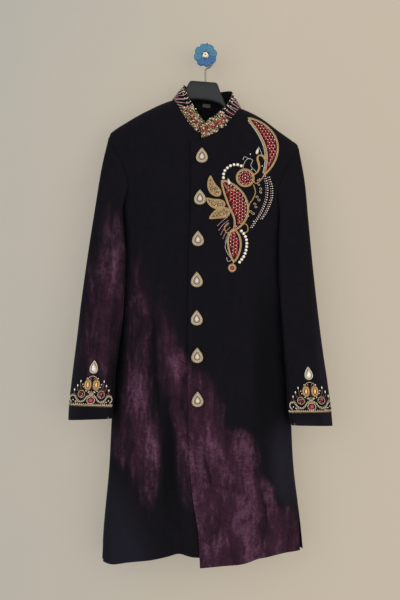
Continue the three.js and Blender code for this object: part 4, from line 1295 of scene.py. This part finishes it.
def jewelled(ground, outline, turn, pitch=7.6):
    """A field of red stones with white dots between them on a dark red bed, edged with wire and bead rows."""
    ground.beads("gold", ring_of(outline), 1.5, 1.5, up=0.5, stretch=1.1)
    ground.beads("pale_gold", ring_of(shrink(outline, 2.3)), 2.1, 1.2, up=0.5)
    field = shrink(outline, 4.0)
    bed(ground, field, RED_BED, 2.1, 1.1, up=0.2)
    centres = hexes(shrink(outline, 5.6), pitch, turn)
    ground.stones("rubies", centres, (3.3, 2.6, 2.1), angle=turn, up=0.7)
    way = turn + math.pi / 6
    dots = centres + np.array([math.cos(way), math.sin(way)]) * pitch * 0.577
    ground.stones("pearls", dots[inside(field, dots)], (1.35, 1.35, 1.1), up=1.6, shape=BEAD)


def leaf(ground, outline, spine):
    """A pointed gold wire leaf: edged with two rows, veined, on a bed of gold beads with white dots."""
    ground.beads("gold", ring_of(outline), 1.4, 1.45, up=0.6, stretch=1.2)
    ground.beads("pale_gold", ring_of(shrink(outline, 2.2)), 2.0, 1.1, up=0.6)
    bed(ground, shrink(outline, 3.0), GOLD_BED, 2.0, 1.05)
    ground.beads("bronze", spine[8:-6], 1.8, 1.0, up=1.2)
    ground.stones("pearls", spine[16:-12:7], (1.0, 1.0, 1.0), up=2.0, shape=BEAD)


TURNS = {"crescent": 1.1, "boteh": 0.5, "tail": 1.5}
for name, plate in PLATES.items():
    outline, spine = plate_outline(*plate)
    if name.startswith("leaf"):
        leaf(chest, outline, spine)
    else:
        jewelled(chest, outline, TURNS[name])
    if name == "crescent":
        chest.beads("silver", outline[2:58] - np.array([2.8, 0]), 3.0, 1.6)

circle = spline(oval(16), closed=True)
chest.beads("gold", circle * 20.0 + ROSETTE, 1.5, 1.6, up=1.4, stretch=1.1)
chest.beads("pale_gold", circle * 17.4 + ROSETTE, 2.2, 1.25, up=1.4)
bed(chest, circle * 15.8 + ROSETTE, RED_BED, 2.1, 1.1, up=0.6)
for count, radius, size in ((11, 12.2, (2.9, 2.7, 2.0)), (6, 6.2, (2.4, 2.2, 2.0))):
    for a in np.linspace(0, 2 * math.pi, count, endpoint=False):
        way = np.array([math.cos(a), math.sin(a)])
        half_way = np.array([math.cos(a + math.pi / count), math.sin(a + math.pi / count)])
        chest.stones("rubies", ROSETTE + radius * way, size, angle=a, up=1.4)
        chest.stones("pearls", ROSETTE + 1.15 * radius * half_way, (1.3, 1.3, 1.1), up=2.0, shape=BEAD)
chest.stones("pearls", ROSETTE, (2.0, 2.0, 1.8), up=1.6, shape=BEAD)

# Lines that tie the plates together, each a run of flat points.
HOOK = [
    (133, -247),
    (128, -240),
    (120, -239),
    (116, -246),
    (119, -258),
    (120, -268),
    (115, -278),
    (106, -284),
]
GOLD_LINES = [
    [(131, -284), (123, -296), (113, -302), (108, -296)],
    [(108, -306), (112, -322), (106, -338), (99, -348), (96, -360)],
    [(50, -392), (42, -402), (47, -414), (56, -412)],
    [(76, -392), (92, -396), (94, -410), (82, -416)],
    [(63, -480), (60, -486)],
    [(40, -300), (48, -314), (62, -318), (70, -308)],
]
SILVER_LINES = [
    [(114, -276), (102, -262), (106, -250), (97, -246), (88, -254), (84, -268)],
    [(97, -246), (88, -242), (84, -248)],
    [(48, -428), (44, -446), (50, -462), (58, -474), (50, -478), (47, -470)],
    [(128, -238), (124, -228), (120, -220)],
]
# Small scrolls in a column between the body and the sweeps: place, size and turn.
SCROLLS = [
    (119, -300, 4.6, 0.4),
    (124, -318, 4.4, 3.4),
    (118, -336, 4.6, 0.9),
    (112, -352, 4.2, 3.8),
    (104, -368, 4.4, 1.2),
]
# Double lines of pink and white beads that sweep down the outer side.
SWEEPS = [
    [(140, -288), (147, -312), (146, -336), (137, -360), (124, -382)],
    [(131, -286), (136, -310), (134, -338), (121, -370), (101, -402)],
]
PEARL_ARCS = [
    [(40, -290), (42, -276), (54, -264), (68, -260), (80, -263)],
    [(80, -410), (88, -420), (92, -434), (91, -450), (86, -466), (76, -480)],
]
RAYS = [
    [(48, -380), (37, -388), (27, -398)],
    [(50, -387), (39, -396), (30, -408)],
    [(52, -394), (42, -404), (34, -418)],
    [(54, -402), (45, -413), (39, -427)],
    [(56, -410), (48, -421), (44, -435)],
]
DOTS = [
    (101, -236),
    (122, -292),
    (128, -262),
    (104, -270),
    (96, -376),
    (108, -388),
    (36, -350),
    (24, -352),
    (134, -274),
]
chest.beads("gold", spline(HOOK), 1.4, 2.1, up=0.5, stretch=1.1)
chest.beads("gold", spline(HOOK) + np.array([2.2, 1.2]), 1.4, 1.5, up=0.5, stretch=1.1)
for line in GOLD_LINES:
    chest.beads("gold", spline(line), 1.4, 1.4, up=0.5, stretch=1.25)
for line in SILVER_LINES:
    chest.beads("silver", spline(line), 1.8, 1.0)
for x, z, r, turn in SCROLLS:
    for way in (1, -1):
        curl = spiral((0, r * 0.9), math.pi * 1.5, 0.8, r * 0.9, 0.8) * way
        c, k = math.cos(turn), math.sin(turn)
        chest.beads("pale_gold", curl @ np.array([[c, k], [-k, c]]) + [x, z], 1.9, 0.95)
for line in SWEEPS:
    path = spline(line)
    chest.beads("mesh", path, 5.2, 1.4)
    chest.beads("pearls", path + np.array([4.0, 0.8]), 5.4, 1.5)
for line in RAYS:
    chest.beads("mesh", spline(line), 3.4, 1.15)
for line in PEARL_ARCS:
    chest.beads("pearls", spline(line), 8.0, 3.9)
chest.stones("pearls", np.array(DOTS, float), (1.5, 1.5, 1.2), shape=BEAD)
chest.stones("stones", np.array([117.0, -228.0]), (6.4, 16, 3.0), angle=-0.3, shape=DROP_STONE)
chest.stones("stones", np.array([52.0, -298.0]), (6.4, 15, 3.0), angle=0.3, up=1.2, shape=DROP_STONE)
PENDANT = np.array([59.5, -493.0])
chest.stones("rubies", PENDANT, (4.6, 4.6, 3.2), shape=PENDANT_STONE)
chest.beads("pale_gold", circle * 6.3 + PENDANT, 2.3, 1.5, up=0.4)
chest.beads("gold", circle * 8.6 + PENDANT, 1.8, 1.2, up=0.3)

# ---------------------------------------------------------------- the collar's beadwork

collar_u = np.linspace(0, 1, 800)
collar_at = collar_point(collar_u, np.full_like(collar_u, 0.5))
collar_length = run_length(collar_at)
COLLAR_LONG = collar_length[-1]


def collar_place(a, b):
    """a is the way along the collar from its right end, b the height up it as if it were 34 mm tall."""
    u = np.interp(a, collar_length, collar_u)
    v = np.clip(b / 34, 0, 1)
    return collar_point(u, v), collar_normal(u, v)


collar = Ground("collar", collar_place)
# At each end of the collar: where it starts, which way it runs, how long the dense work is, and how it leans.
for start, way, length, lean in ((1.5, 1, 94, 26), (COLLAR_LONG - 1.5, -1, 72, 8)):
    ends = [(0, 1.5), (length, 1.5), (length - lean, 31.5), (0, 31.5)]
    field = np.array([(start + way * a, b) for a, b in ends])
    bed(collar, field, COLLAR_BED, 2.9, 1.45, up=0.6)
    scattered = hexes(field, 10.0, 0.5)
    scattered = scattered + DRAWS.normal(0, 1.6, scattered.shape)
    collar.stones("pearls", scattered, (1.7, 1.7, 1.4), up=1.4, shape=BEAD)
    rows = [(15.5, 5.4, 2.5), (10.5, 10.8, 1.6), (20.5, 10.8, 1.6)]
    for height, pitch, size in rows:
        steps = np.arange(4, length - lean * height / 34, pitch)
        flat = np.column_stack([start + way * steps, np.full(len(steps), height)])
        flat = flat + DRAWS.normal(0, 0.45, flat.shape)
        for spot in flat:
            grown = size * DRAWS.uniform(0.75, 1.2)
            collar.stones("rubies", spot, (grown, grown * 0.85, 1.7), angle=DRAWS.uniform(0, 3.1), up=1.2)
    # Stripes of pink, silver and maroon beads over the shoulders, on bare velvet.
    for k, a in enumerate(np.arange(length + 2.5, COLLAR_LONG / 2 + 24, 4.3)):
        shade = ("mesh", "maroon", "silver", "maroon")[k % 4]
        low = np.array([start + way * a, 2.5])
        high = np.array([start + way * (a - lean - 8), 28.0 - 4.0 * (k % 3)])
        collar.beads(shade, spline([low, high]), 2.3, 0.95)
        dot = high + np.array([way * DRAWS.uniform(-2, 2), DRAWS.uniform(1.5, 5.0)])
        collar.stones("pearls", dot, (1.5, 1.5, 1.3), shape=BEAD)
    top = np.arange(4, COLLAR_LONG / 2, 7.0)
    top = np.column_stack([start + way * top, 32.4 + 0 * top])
    collar.stones("bronze", top, (1.5, 1.3, 1.1), shape=BEAD)

# ---------------------------------------------------------------- the cuffs

CUFF_ABOVE_HEM, DROP_UP = 32, 86


def cuff_ground(name, point, sections, middle, way):
    heights = [((s[0] + s[1]) / 2, (i + 1) / len(sections)) for i, s in enumerate(sections)]
    line_z = heights[-1][0] + CUFF_ABOVE_HEM
    width = abs(sections[-1][2] - sections[-1][3])

    def place(a, b):
        """a is across the front of the sleeve from the crown's middle, b up from the beaded line."""
        q = middle + way * np.asarray(a) / width
        v = curve(heights, line_z + np.asarray(b))
        at = point(q, v)
        n = sleeve_normal(point, q, v)
        return at + n * sleeve_lift(q, v)[..., None], n

    return Ground(name, place), width


WAVE = [(0, 22), (9, 18), (15, 10), (23, 7), (30, 12), (36, 20), (43, 19), (46, 12), (42, 6)]
CUFFS = (
    ("cuff_right", sleeve_right, SLEEVE_RIGHT, 0.46, 1),
    ("cuff_left", sleeve_left, SLEEVE_LEFT, 0.42, -1),
)
for name, point, sections, middle, way in CUFFS:
    cuff, width = cuff_ground(name, point, sections, middle, way)
    ends = sorted(((-0.03 - middle) * width * way, (0.9 - middle) * width * way))

    def across(level):
        return np.column_stack([np.linspace(*ends, 40), np.full(40, float(level))])

    cuff.beads("pale_gold", across(0.6), 2.4, 1.35)
    cuff.beads("pearls", across(2.9), 4.2, 1.0)
    cuff.beads("gold", across(-1.7), 1.7, 0.7)
    cuff.stones("rubies", np.array([0, 11.0]), (5.8, 5.0, 2.6), shape=PENDANT_STONE)
    cuff.beads("pearls", spline(oval(10) * [8.2, 7.4] + np.array([0, 11.0]), closed=True), 3.0, 1.2, up=0.5)
    for side in (-1, 1):
        wave = spline([(side * x, z) for x, z in WAVE])
        cuff.beads("pale_gold", wave, 2.1, 1.2, up=0.6)
        cuff.beads("pearls", wave + np.array([0, 2.2]), 3.6, 0.95)
        cuff.beads("bronze", wave - np.array([0, 1.9]), 1.8, 0.75)
        cuff.beads("pale_gold", spiral((side * 29, 4.6), 1.2, 0.9, 4.0, 1.0), 1.9, 0.9)
        # An amber oval in a cream rim, and a red petal beside it.
        centre = np.array([side * 9.2, 45.0])
        rim = spline(oval(12) * [6.8, 12.2], closed=True)
        cuff.beads("gold", rim + centre, 1.5, 1.3, up=0.6)
        cuff.beads("pale_gold", rim * 0.76 + centre, 2.0, 1.25, up=0.8)
        cuff.stones("amber", centre, (7.0, 3.2, 2.8), angle=math.pi / 2, up=0.9)
        petal = [(side * x, z) for x, z in ((14, 22), (17, 30), (25, 31), (28, 22), (21, 16))]
        petal = spline(petal, closed=True)
        cuff.beads("pale_gold", petal, 2.0, 1.0)
        bed(cuff, shrink(petal, 2.2), PETAL_BED, 2.6, 1.2)
        for foot, tip in (((17, 31), (25, 50)), ((30, 18), (37, 30)), ((24, 27), (31, 40))):
            bow = [(side * foot[0], foot[1]), (side * (foot[0] + 6), foot[1] + 6), (side * tip[0], tip[1])]
            cuff.beads("bronze", spline(bow), 1.7, 1.0)
            bud, dot = (side * tip[0], tip[1] + 3.0), (side * (tip[0] - 4), tip[1] - 6.0)
            cuff.stones("pearls", bud, (3.4, 1.5, 1.6), angle=math.pi / 2, shape=BEAD)
            cuff.stones("maroon", dot, (1.6, 1.6, 1.3), shape=BEAD)
        for x, z in ((6, 29), (12, 31), (4, 60), (33, 8), (38, 11), (18, 40), (20, 46), (12, 60)):
            cuff.stones("pearls", np.array([side * x, float(z)]), (1.5, 1.5, 1.3), shape=BEAD)
        cuff.beads("maroon", spline([(side * 2.0, 36), (side * 1.6, 48), (side * 3.6, 60)]), 2.2, 1.3)
        cuff.beads("pale_gold", spline([(side * 10, 58), (side * 7, 63), (0, 66)]), 2.2, 1.1)
    for x in (-6, -3, 0, 3, 6):
        cuff.beads("pale_gold", np.array([(x * 0.5, 24.5), (x * 1.3, 31.0 - abs(x) * 0.4)]), 2.1, 1.0)
    # The stone above the crown.
    centre = np.array([0, float(DROP_UP)])
    cuff.stones("bronze", centre, (19, 31, 2.4), shape=DROP_PLATE)
    edge = ring_of(drop(28) * [15.4, 26.6] + centre)
    cuff.beads("pearls", edge, 2.4, 1.25, up=2.2)
    cuff.stones("stones", centre + [0, -1.4], (11.6, 20, 4.6), up=1.8, shape=DROP_STONE)

# ---------------------------------------------------------------- the buttons

buttons = Ground("button", chest_place)
for x, z in BUTTONS:
    middle = np.array([x, z], float)
    up = float(BUTTON_STANDOFF - gape_lift(x - BUTTON_WIDTH / 2, z) + gape_lift(x, z))
    buttons.stones("bronze", middle, (BUTTON_WIDTH, BUTTON_HEIGHT, 2.6), up=up, shape=DROP_PLATE)
    edge = ring_of(drop(36) * [BUTTON_WIDTH - 3.2, BUTTON_HEIGHT - 4.2] + middle)
    buttons.beads("pale_gold", edge, 2.6, 1.3, up=up + 2.0)
    row = ring_of(drop(36) * [BUTTON_WIDTH - 8.4, BUTTON_HEIGHT - 10.6] + middle - [0, 0.8])
    buttons.beads("white", row, 2.5, 1.15, up=up + 2.2)
    buttons.stones("stones", middle - [0, 2.0], (9.4, 13.6, 4.4), up=up + 2.2, shape=DROP_STONE)

REPLACED = {
    "spray_rubies": ["motif_crescent", "motif_rosette", "motif_boteh", "motif_tail", "motif_pendant"],
    "spray_gold": ["motif_leaf_1", "motif_leaf_2", "motif_leaf_3"],
    "cuff_right_gold": ["cuff_crown_right"],
    "cuff_right_pearls": ["cuff_band_right"],
    "cuff_right_stones": ["cuff_drop_right"],
    "cuff_left_gold": ["cuff_crown_left"],
    "cuff_left_pearls": ["cuff_band_left"],
    "cuff_left_stones": ["cuff_drop_left"],
    "button_stones": [f"button_{i + 1}" for i in range(len(BUTTONS))],
}
for piece, (finish, rows) in work.items():
    rounded = finish not in ("rubies", "stones", "amber")
    sewn = sew(piece, np.vstack(rows), FINISHES[finish], rounded)
    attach(sewn, "root")
    if piece in REPLACED:
        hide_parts(*REPLACED[piece])
for shape in list(shape_collection.objects):
    bpy.data.objects.remove(shape)
bpy.data.collections.remove(shape_collection)

# ---------------------------------------------------------------- hanger and wall hook

# Half of the hanger from its middle outwards: top, bottom and thickness.
HANGER = [
    (0, 21, -21.5, 14),
    (16, 21, -22.3, 15),
    (29, 20.5, -25, 16),
    (33, 17, -26, 16.5),
    (38, 6, -27.6, 17),
    (43, -5, -29.5, 18),
    (53, -23, -38, 18),
    (64, -40, -54, 18),
    (84, -51, -68, 22),
    (128, -68, -88, 26),
    (166, -94, -116, 27),
    (187, -112, -134, 25),
    (192, -118, -134, 20),
]
HANGER_MIDDLE = np.array([-6.0, HANGER_Y, -80.0])


def hanger_body():
    s = np.unique(np.concatenate([np.linspace(0, 64, 40), np.linspace(64, 192, 46)]))
    s = np.concatenate([-s[::-1], s[1:]])
    reach = np.abs(s)
    top, bottom, thick = (curve(HANGER, reach, column) for column in (1, 2, 3))
    a = np.linspace(0, 2 * math.pi, 36, endpoint=False)
    rounding = (np.abs(np.cos(a)) ** 4 + np.abs(np.sin(a)) ** 4) ** (-1 / 4)
    y = thick[:, None] / 2 * (rounding * np.cos(a))[None]
    z = ((top + bottom) / 2)[:, None] + ((top - bottom) / 2)[:, None] * (rounding * np.sin(a))[None]
    points = xyz(s[:, None] * np.ones_like(y), y, z)
    rows, ring = points.shape[:2]
    i = np.arange(rows * ring).reshape(rows, ring)
    sides = np.stack([i[:-1], np.roll(i, -1, 1)[:-1], np.roll(i, -1, 1)[1:], i[1:]], -1).reshape(-1, 4)
    flat = points.reshape(-1, 3)
    ends = np.array([points[0].mean(0), points[-1].mean(0)])
    caps = []
    for k, row in ((0, i[0]), (1, i[-1])):
        for j in range(0, ring, 2):
            corner = [row[j], row[(j + 1) % ring], row[(j + 2) % ring], rows * ring + k]
            caps.append(corner if k else corner[::-1])
    points = np.vstack([flat, ends])
    turn = np.array(Matrix.Rotation(HANGER_TILT, 3, "Y"))
    points = points @ turn.T + HANGER_MIDDLE
    faces = outward(points, np.vstack([sides, np.array(caps)]))
    return mesh_from("hanger_moulding", points, faces, [HANGER_GREY])


FLOWER_Y, FLOWER_THICK, FLOWER_REACH = -58, 7, 27
PETAL_FOOT, PETAL_HALF_WIDTH = 7, 11.4
NOTCH_DEPTH, NOTCH_HALF = 0.9, 1.2


def petals(name, material, places):
    """Petals round the flower: each a rounded pad with a shallow groove along its middle."""
    all_points, all_faces, count = [], [], 0
    r, a = np.meshgrid(np.linspace(0.0, 1, 12), np.linspace(0, 2 * math.pi, 36, endpoint=False))
    for angle in places:
        long = (FLOWER_REACH - PETAL_FOOT) / 2
        x = PETAL_FOOT + long + r * np.cos(a) * long
        half = PETAL_HALF_WIDTH * (0.74 + 0.26 * np.cos(a))
        y = r * np.sin(a) * half
        notch = NOTCH_DEPTH * np.exp(-((y / NOTCH_HALF) ** 2))
        up = FLOWER_THICK * (0.62 + 0.38 * np.sqrt(np.clip(1 - r**4, 0, 1))) - notch
        c, s = math.cos(angle), math.sin(angle)
        face = xyz(x * c - y * s, FLOWER_Y - up, x * s + y * c)
        rear = face.copy()
        rear[..., 1] = FLOWER_Y
        points = np.concatenate([face.reshape(-1, 3), rear[:, -1].reshape(-1, 3)])
        n, m = face.shape[:2]
        i = np.arange(n * m).reshape(n, m)
        turn = np.roll(i, -1, 0)
        faces = np.stack([i[:, :-1], i[:, 1:], turn[:, 1:], turn[:, :-1]], -1).reshape(-1, 4)
        edge, low = i[:, -1], np.arange(n) + n * m
        rim = np.stack([edge, low, np.roll(low, -1), np.roll(edge, -1)], -1)
        all_points.append(points)
        all_faces.append(np.vstack([faces, rim]) + count)
        count += len(points)
    return mesh_from(name, np.concatenate(all_points), np.concatenate(all_faces), [material])


def dome(name, material, radius, base, height):
    r, a = np.meshgrid(np.linspace(0, 1, 10), np.linspace(0, 2 * math.pi, 32, endpoint=False))
    y = base - height * np.sqrt(np.clip(1 - r**3, 0, 1))
    points = xyz(r * np.cos(a) * radius, y, r * np.sin(a) * radius)
    n, m = points.shape[:2]
    i = np.arange(n * m).reshape(n, m)
    turn = np.roll(i, -1, 0)
    faces = np.stack([i[:, :-1], i[:, 1:], turn[:, 1:], turn[:, :-1]], -1).reshape(-1, 4)
    return mesh_from(name, points.reshape(-1, 3), faces, [material])


eighth = math.pi / 4
light_petals = petals("flower_petals_light", BLUE, [k * eighth + 0.2 for k in (0, 1, 2, 3, 4)])
shaded_petals = petals("flower_petals_deep", SHADED_BLUE, [k * eighth + 0.2 for k in (5, 6, 7)])
centre = dome("flower_centre", CREAM, 6.2, FLOWER_Y - FLOWER_THICK + 1.5, 4.4)
dot = dome("flower_dot", RUST, 2.2, FLOWER_Y - FLOWER_THICK - 2.4, 1.6)
hanger = hanger_body()
for piece, slot_name, nodes in (
    (light_petals, "flower", ["wall_flower"]),
    (shaded_petals, "flower", []),
    (centre, "flower_centre", ["wall_flower_centre"]),
    (dot, "flower_centre", []),
    (hanger, "hanger", ["hanger_body"]),
):
    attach(piece, "root")
    if nodes:
        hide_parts(*nodes)

for node, material in (
    ("neck_label", LABEL),
    ("hanger_hook", STEEL),
    ("wall_plate", PLASTIC),
    ("wall_peg", BLUE),
    ("wall_nail", NAIL),
):
    shown = frame["nodes"][node]
    shown.data.materials.clear()
    shown.data.materials.append(material)
    shown.data.polygons.foreach_set("use_smooth", np.full(len(shown.data.polygons), node == "hanger_hook"))

# ---------------------------------------------------------------- wall, light and camera


def wall_finish():
    """Painted plaster, seen only from the room's side so that the coat's back can be looked at."""
    material, tree = new_material("painted plaster")
    place = add(tree, "ShaderNodeTexCoord").outputs["Object"]
    cloud = add(tree, "ShaderNodeTexNoise", {0: place, "Scale": 1.6, "Detail": 3}).outputs["Fac"]
    grain = add(tree, "ShaderNodeTexNoise", {0: place, "Scale": 60, "Detail": 6}).outputs["Fac"]
    # Painted light: the plaster is lighter and warmer towards +X, the warm lamp's side, over a cloudy tone
    # that varies at random.
    x = add(tree, "ShaderNodeSeparateXYZ", {0: place}).outputs[0]
    across = add(tree, "ShaderNodeMapRange", {0: x, "From Min": -0.45, "From Max": 0.45}).outputs[0]
    shade = add(tree, MATH, {0: cloud, 1: 0.8, 2: across}, operation="MULTIPLY_ADD").outputs[0]
    tint = add(tree, "ShaderNodeValToRGB", {0: shade})
    left, right = tint.color_ramp.elements
    left.color, left.position = colour("#b4b1a8"), 0.3
    right.color, right.position = colour("#c3b9a8"), 1.0
    bump = add(tree, "ShaderNodeBump", {"Height": grain, "Strength": 0.25, "Distance": 0.003})
    surface = {
        "Base Color": tint.outputs[0],
        "Normal": bump.outputs[0],
        "Roughness": 0.8,
        "Specular IOR Level": 0.15,
    }
    paint = add(tree, "ShaderNodeBsdfPrincipled", surface).outputs[0]
    # The plaster partly glows in its own colour, painted light that stands in for the room's light reaching
    # it from all round, so its shadows are faint.
    painted_glow = add(tree, "ShaderNodeEmission", {"Color": tint.outputs[0], "Strength": 0.93}).outputs[0]
    paint = add(tree, "ShaderNodeMixShader", {0: 0.6, 1: paint, 2: painted_glow}).outputs[0]
    clear = add(tree, "ShaderNodeBsdfTransparent").outputs[0]
    back_side = add(tree, "ShaderNodeNewGeometry").outputs["Backfacing"]
    one_sided = add(tree, "ShaderNodeMixShader", {0: back_side, 1: paint, 2: clear}).outputs[0]
    add(tree, "ShaderNodeOutputMaterial", {0: one_sided})
    return material


HALF_WALL, WALL_MIDDLE_Z, WALL_Y = 3000, -600, 0.8
corner_x, corner_z = np.array([-1, 1, 1, -1.0]), np.array([-1, -1, 1, 1.0])
wall_points = xyz(corner_x * HALF_WALL, np.full(4, WALL_Y), corner_z * HALF_WALL + WALL_MIDDLE_Z)
wall = mesh_from("room_wall", wall_points, [(0, 1, 2, 3)], [wall_finish()], False)

world = bpy.data.worlds.new("room")
bpy.context.scene.world = world
world.use_nodes = True
world.node_tree.nodes["Background"].inputs["Color"].default_value = colour("#eceae8")
world.node_tree.nodes["Background"].inputs["Strength"].default_value = 0.78


def area_light(name, at, towards, size, power, code):
    light = bpy.data.lights.new(name, "AREA")
    light.shape = "RECTANGLE"
    light.size, light.size_y = size
    light.energy = power
    light.color = colour(code)[:3]
    made = bpy.data.objects.new(name, light)
    bpy.context.scene.collection.objects.link(made)
    offset = np.array(towards) - np.array(at)
    made.location = at
    made.rotation_mode = "QUATERNION"
    made.rotation_quaternion = Vector(offset).to_track_quat("-Z", "Y")
    return made


area_light("window", (-1.9, -3.4, 0.3), (0, 0, -0.6), (3.0, 3.0), 52, "#f4f6ff")
area_light("room_lamp", (2.0, -3.2, -0.2), (0.3, 0, -0.6), (3.0, 3.0), 62, "#fff0da")

# The camera sees this much of the coat's height from this far off.
VIEW_HEIGHT, VIEW_DISTANCE = 1380, 2200
camera = bpy.data.cameras.new("camera")
camera.sensor_width = 36
camera.lens = camera.sensor_width * VIEW_DISTANCE / VIEW_HEIGHT
camera.clip_start, camera.clip_end = 0.05, 50
viewpoint = bpy.data.objects.new("camera", camera)
viewpoint.location = (-0.0127, -2.268, -0.565)
viewpoint.rotation_euler = (math.pi / 2, 0, 0)
bpy.context.scene.collection.objects.link(viewpoint)
bpy.context.scene.camera = viewpoint
bpy.context.scene.view_settings.view_transform = "Standard"
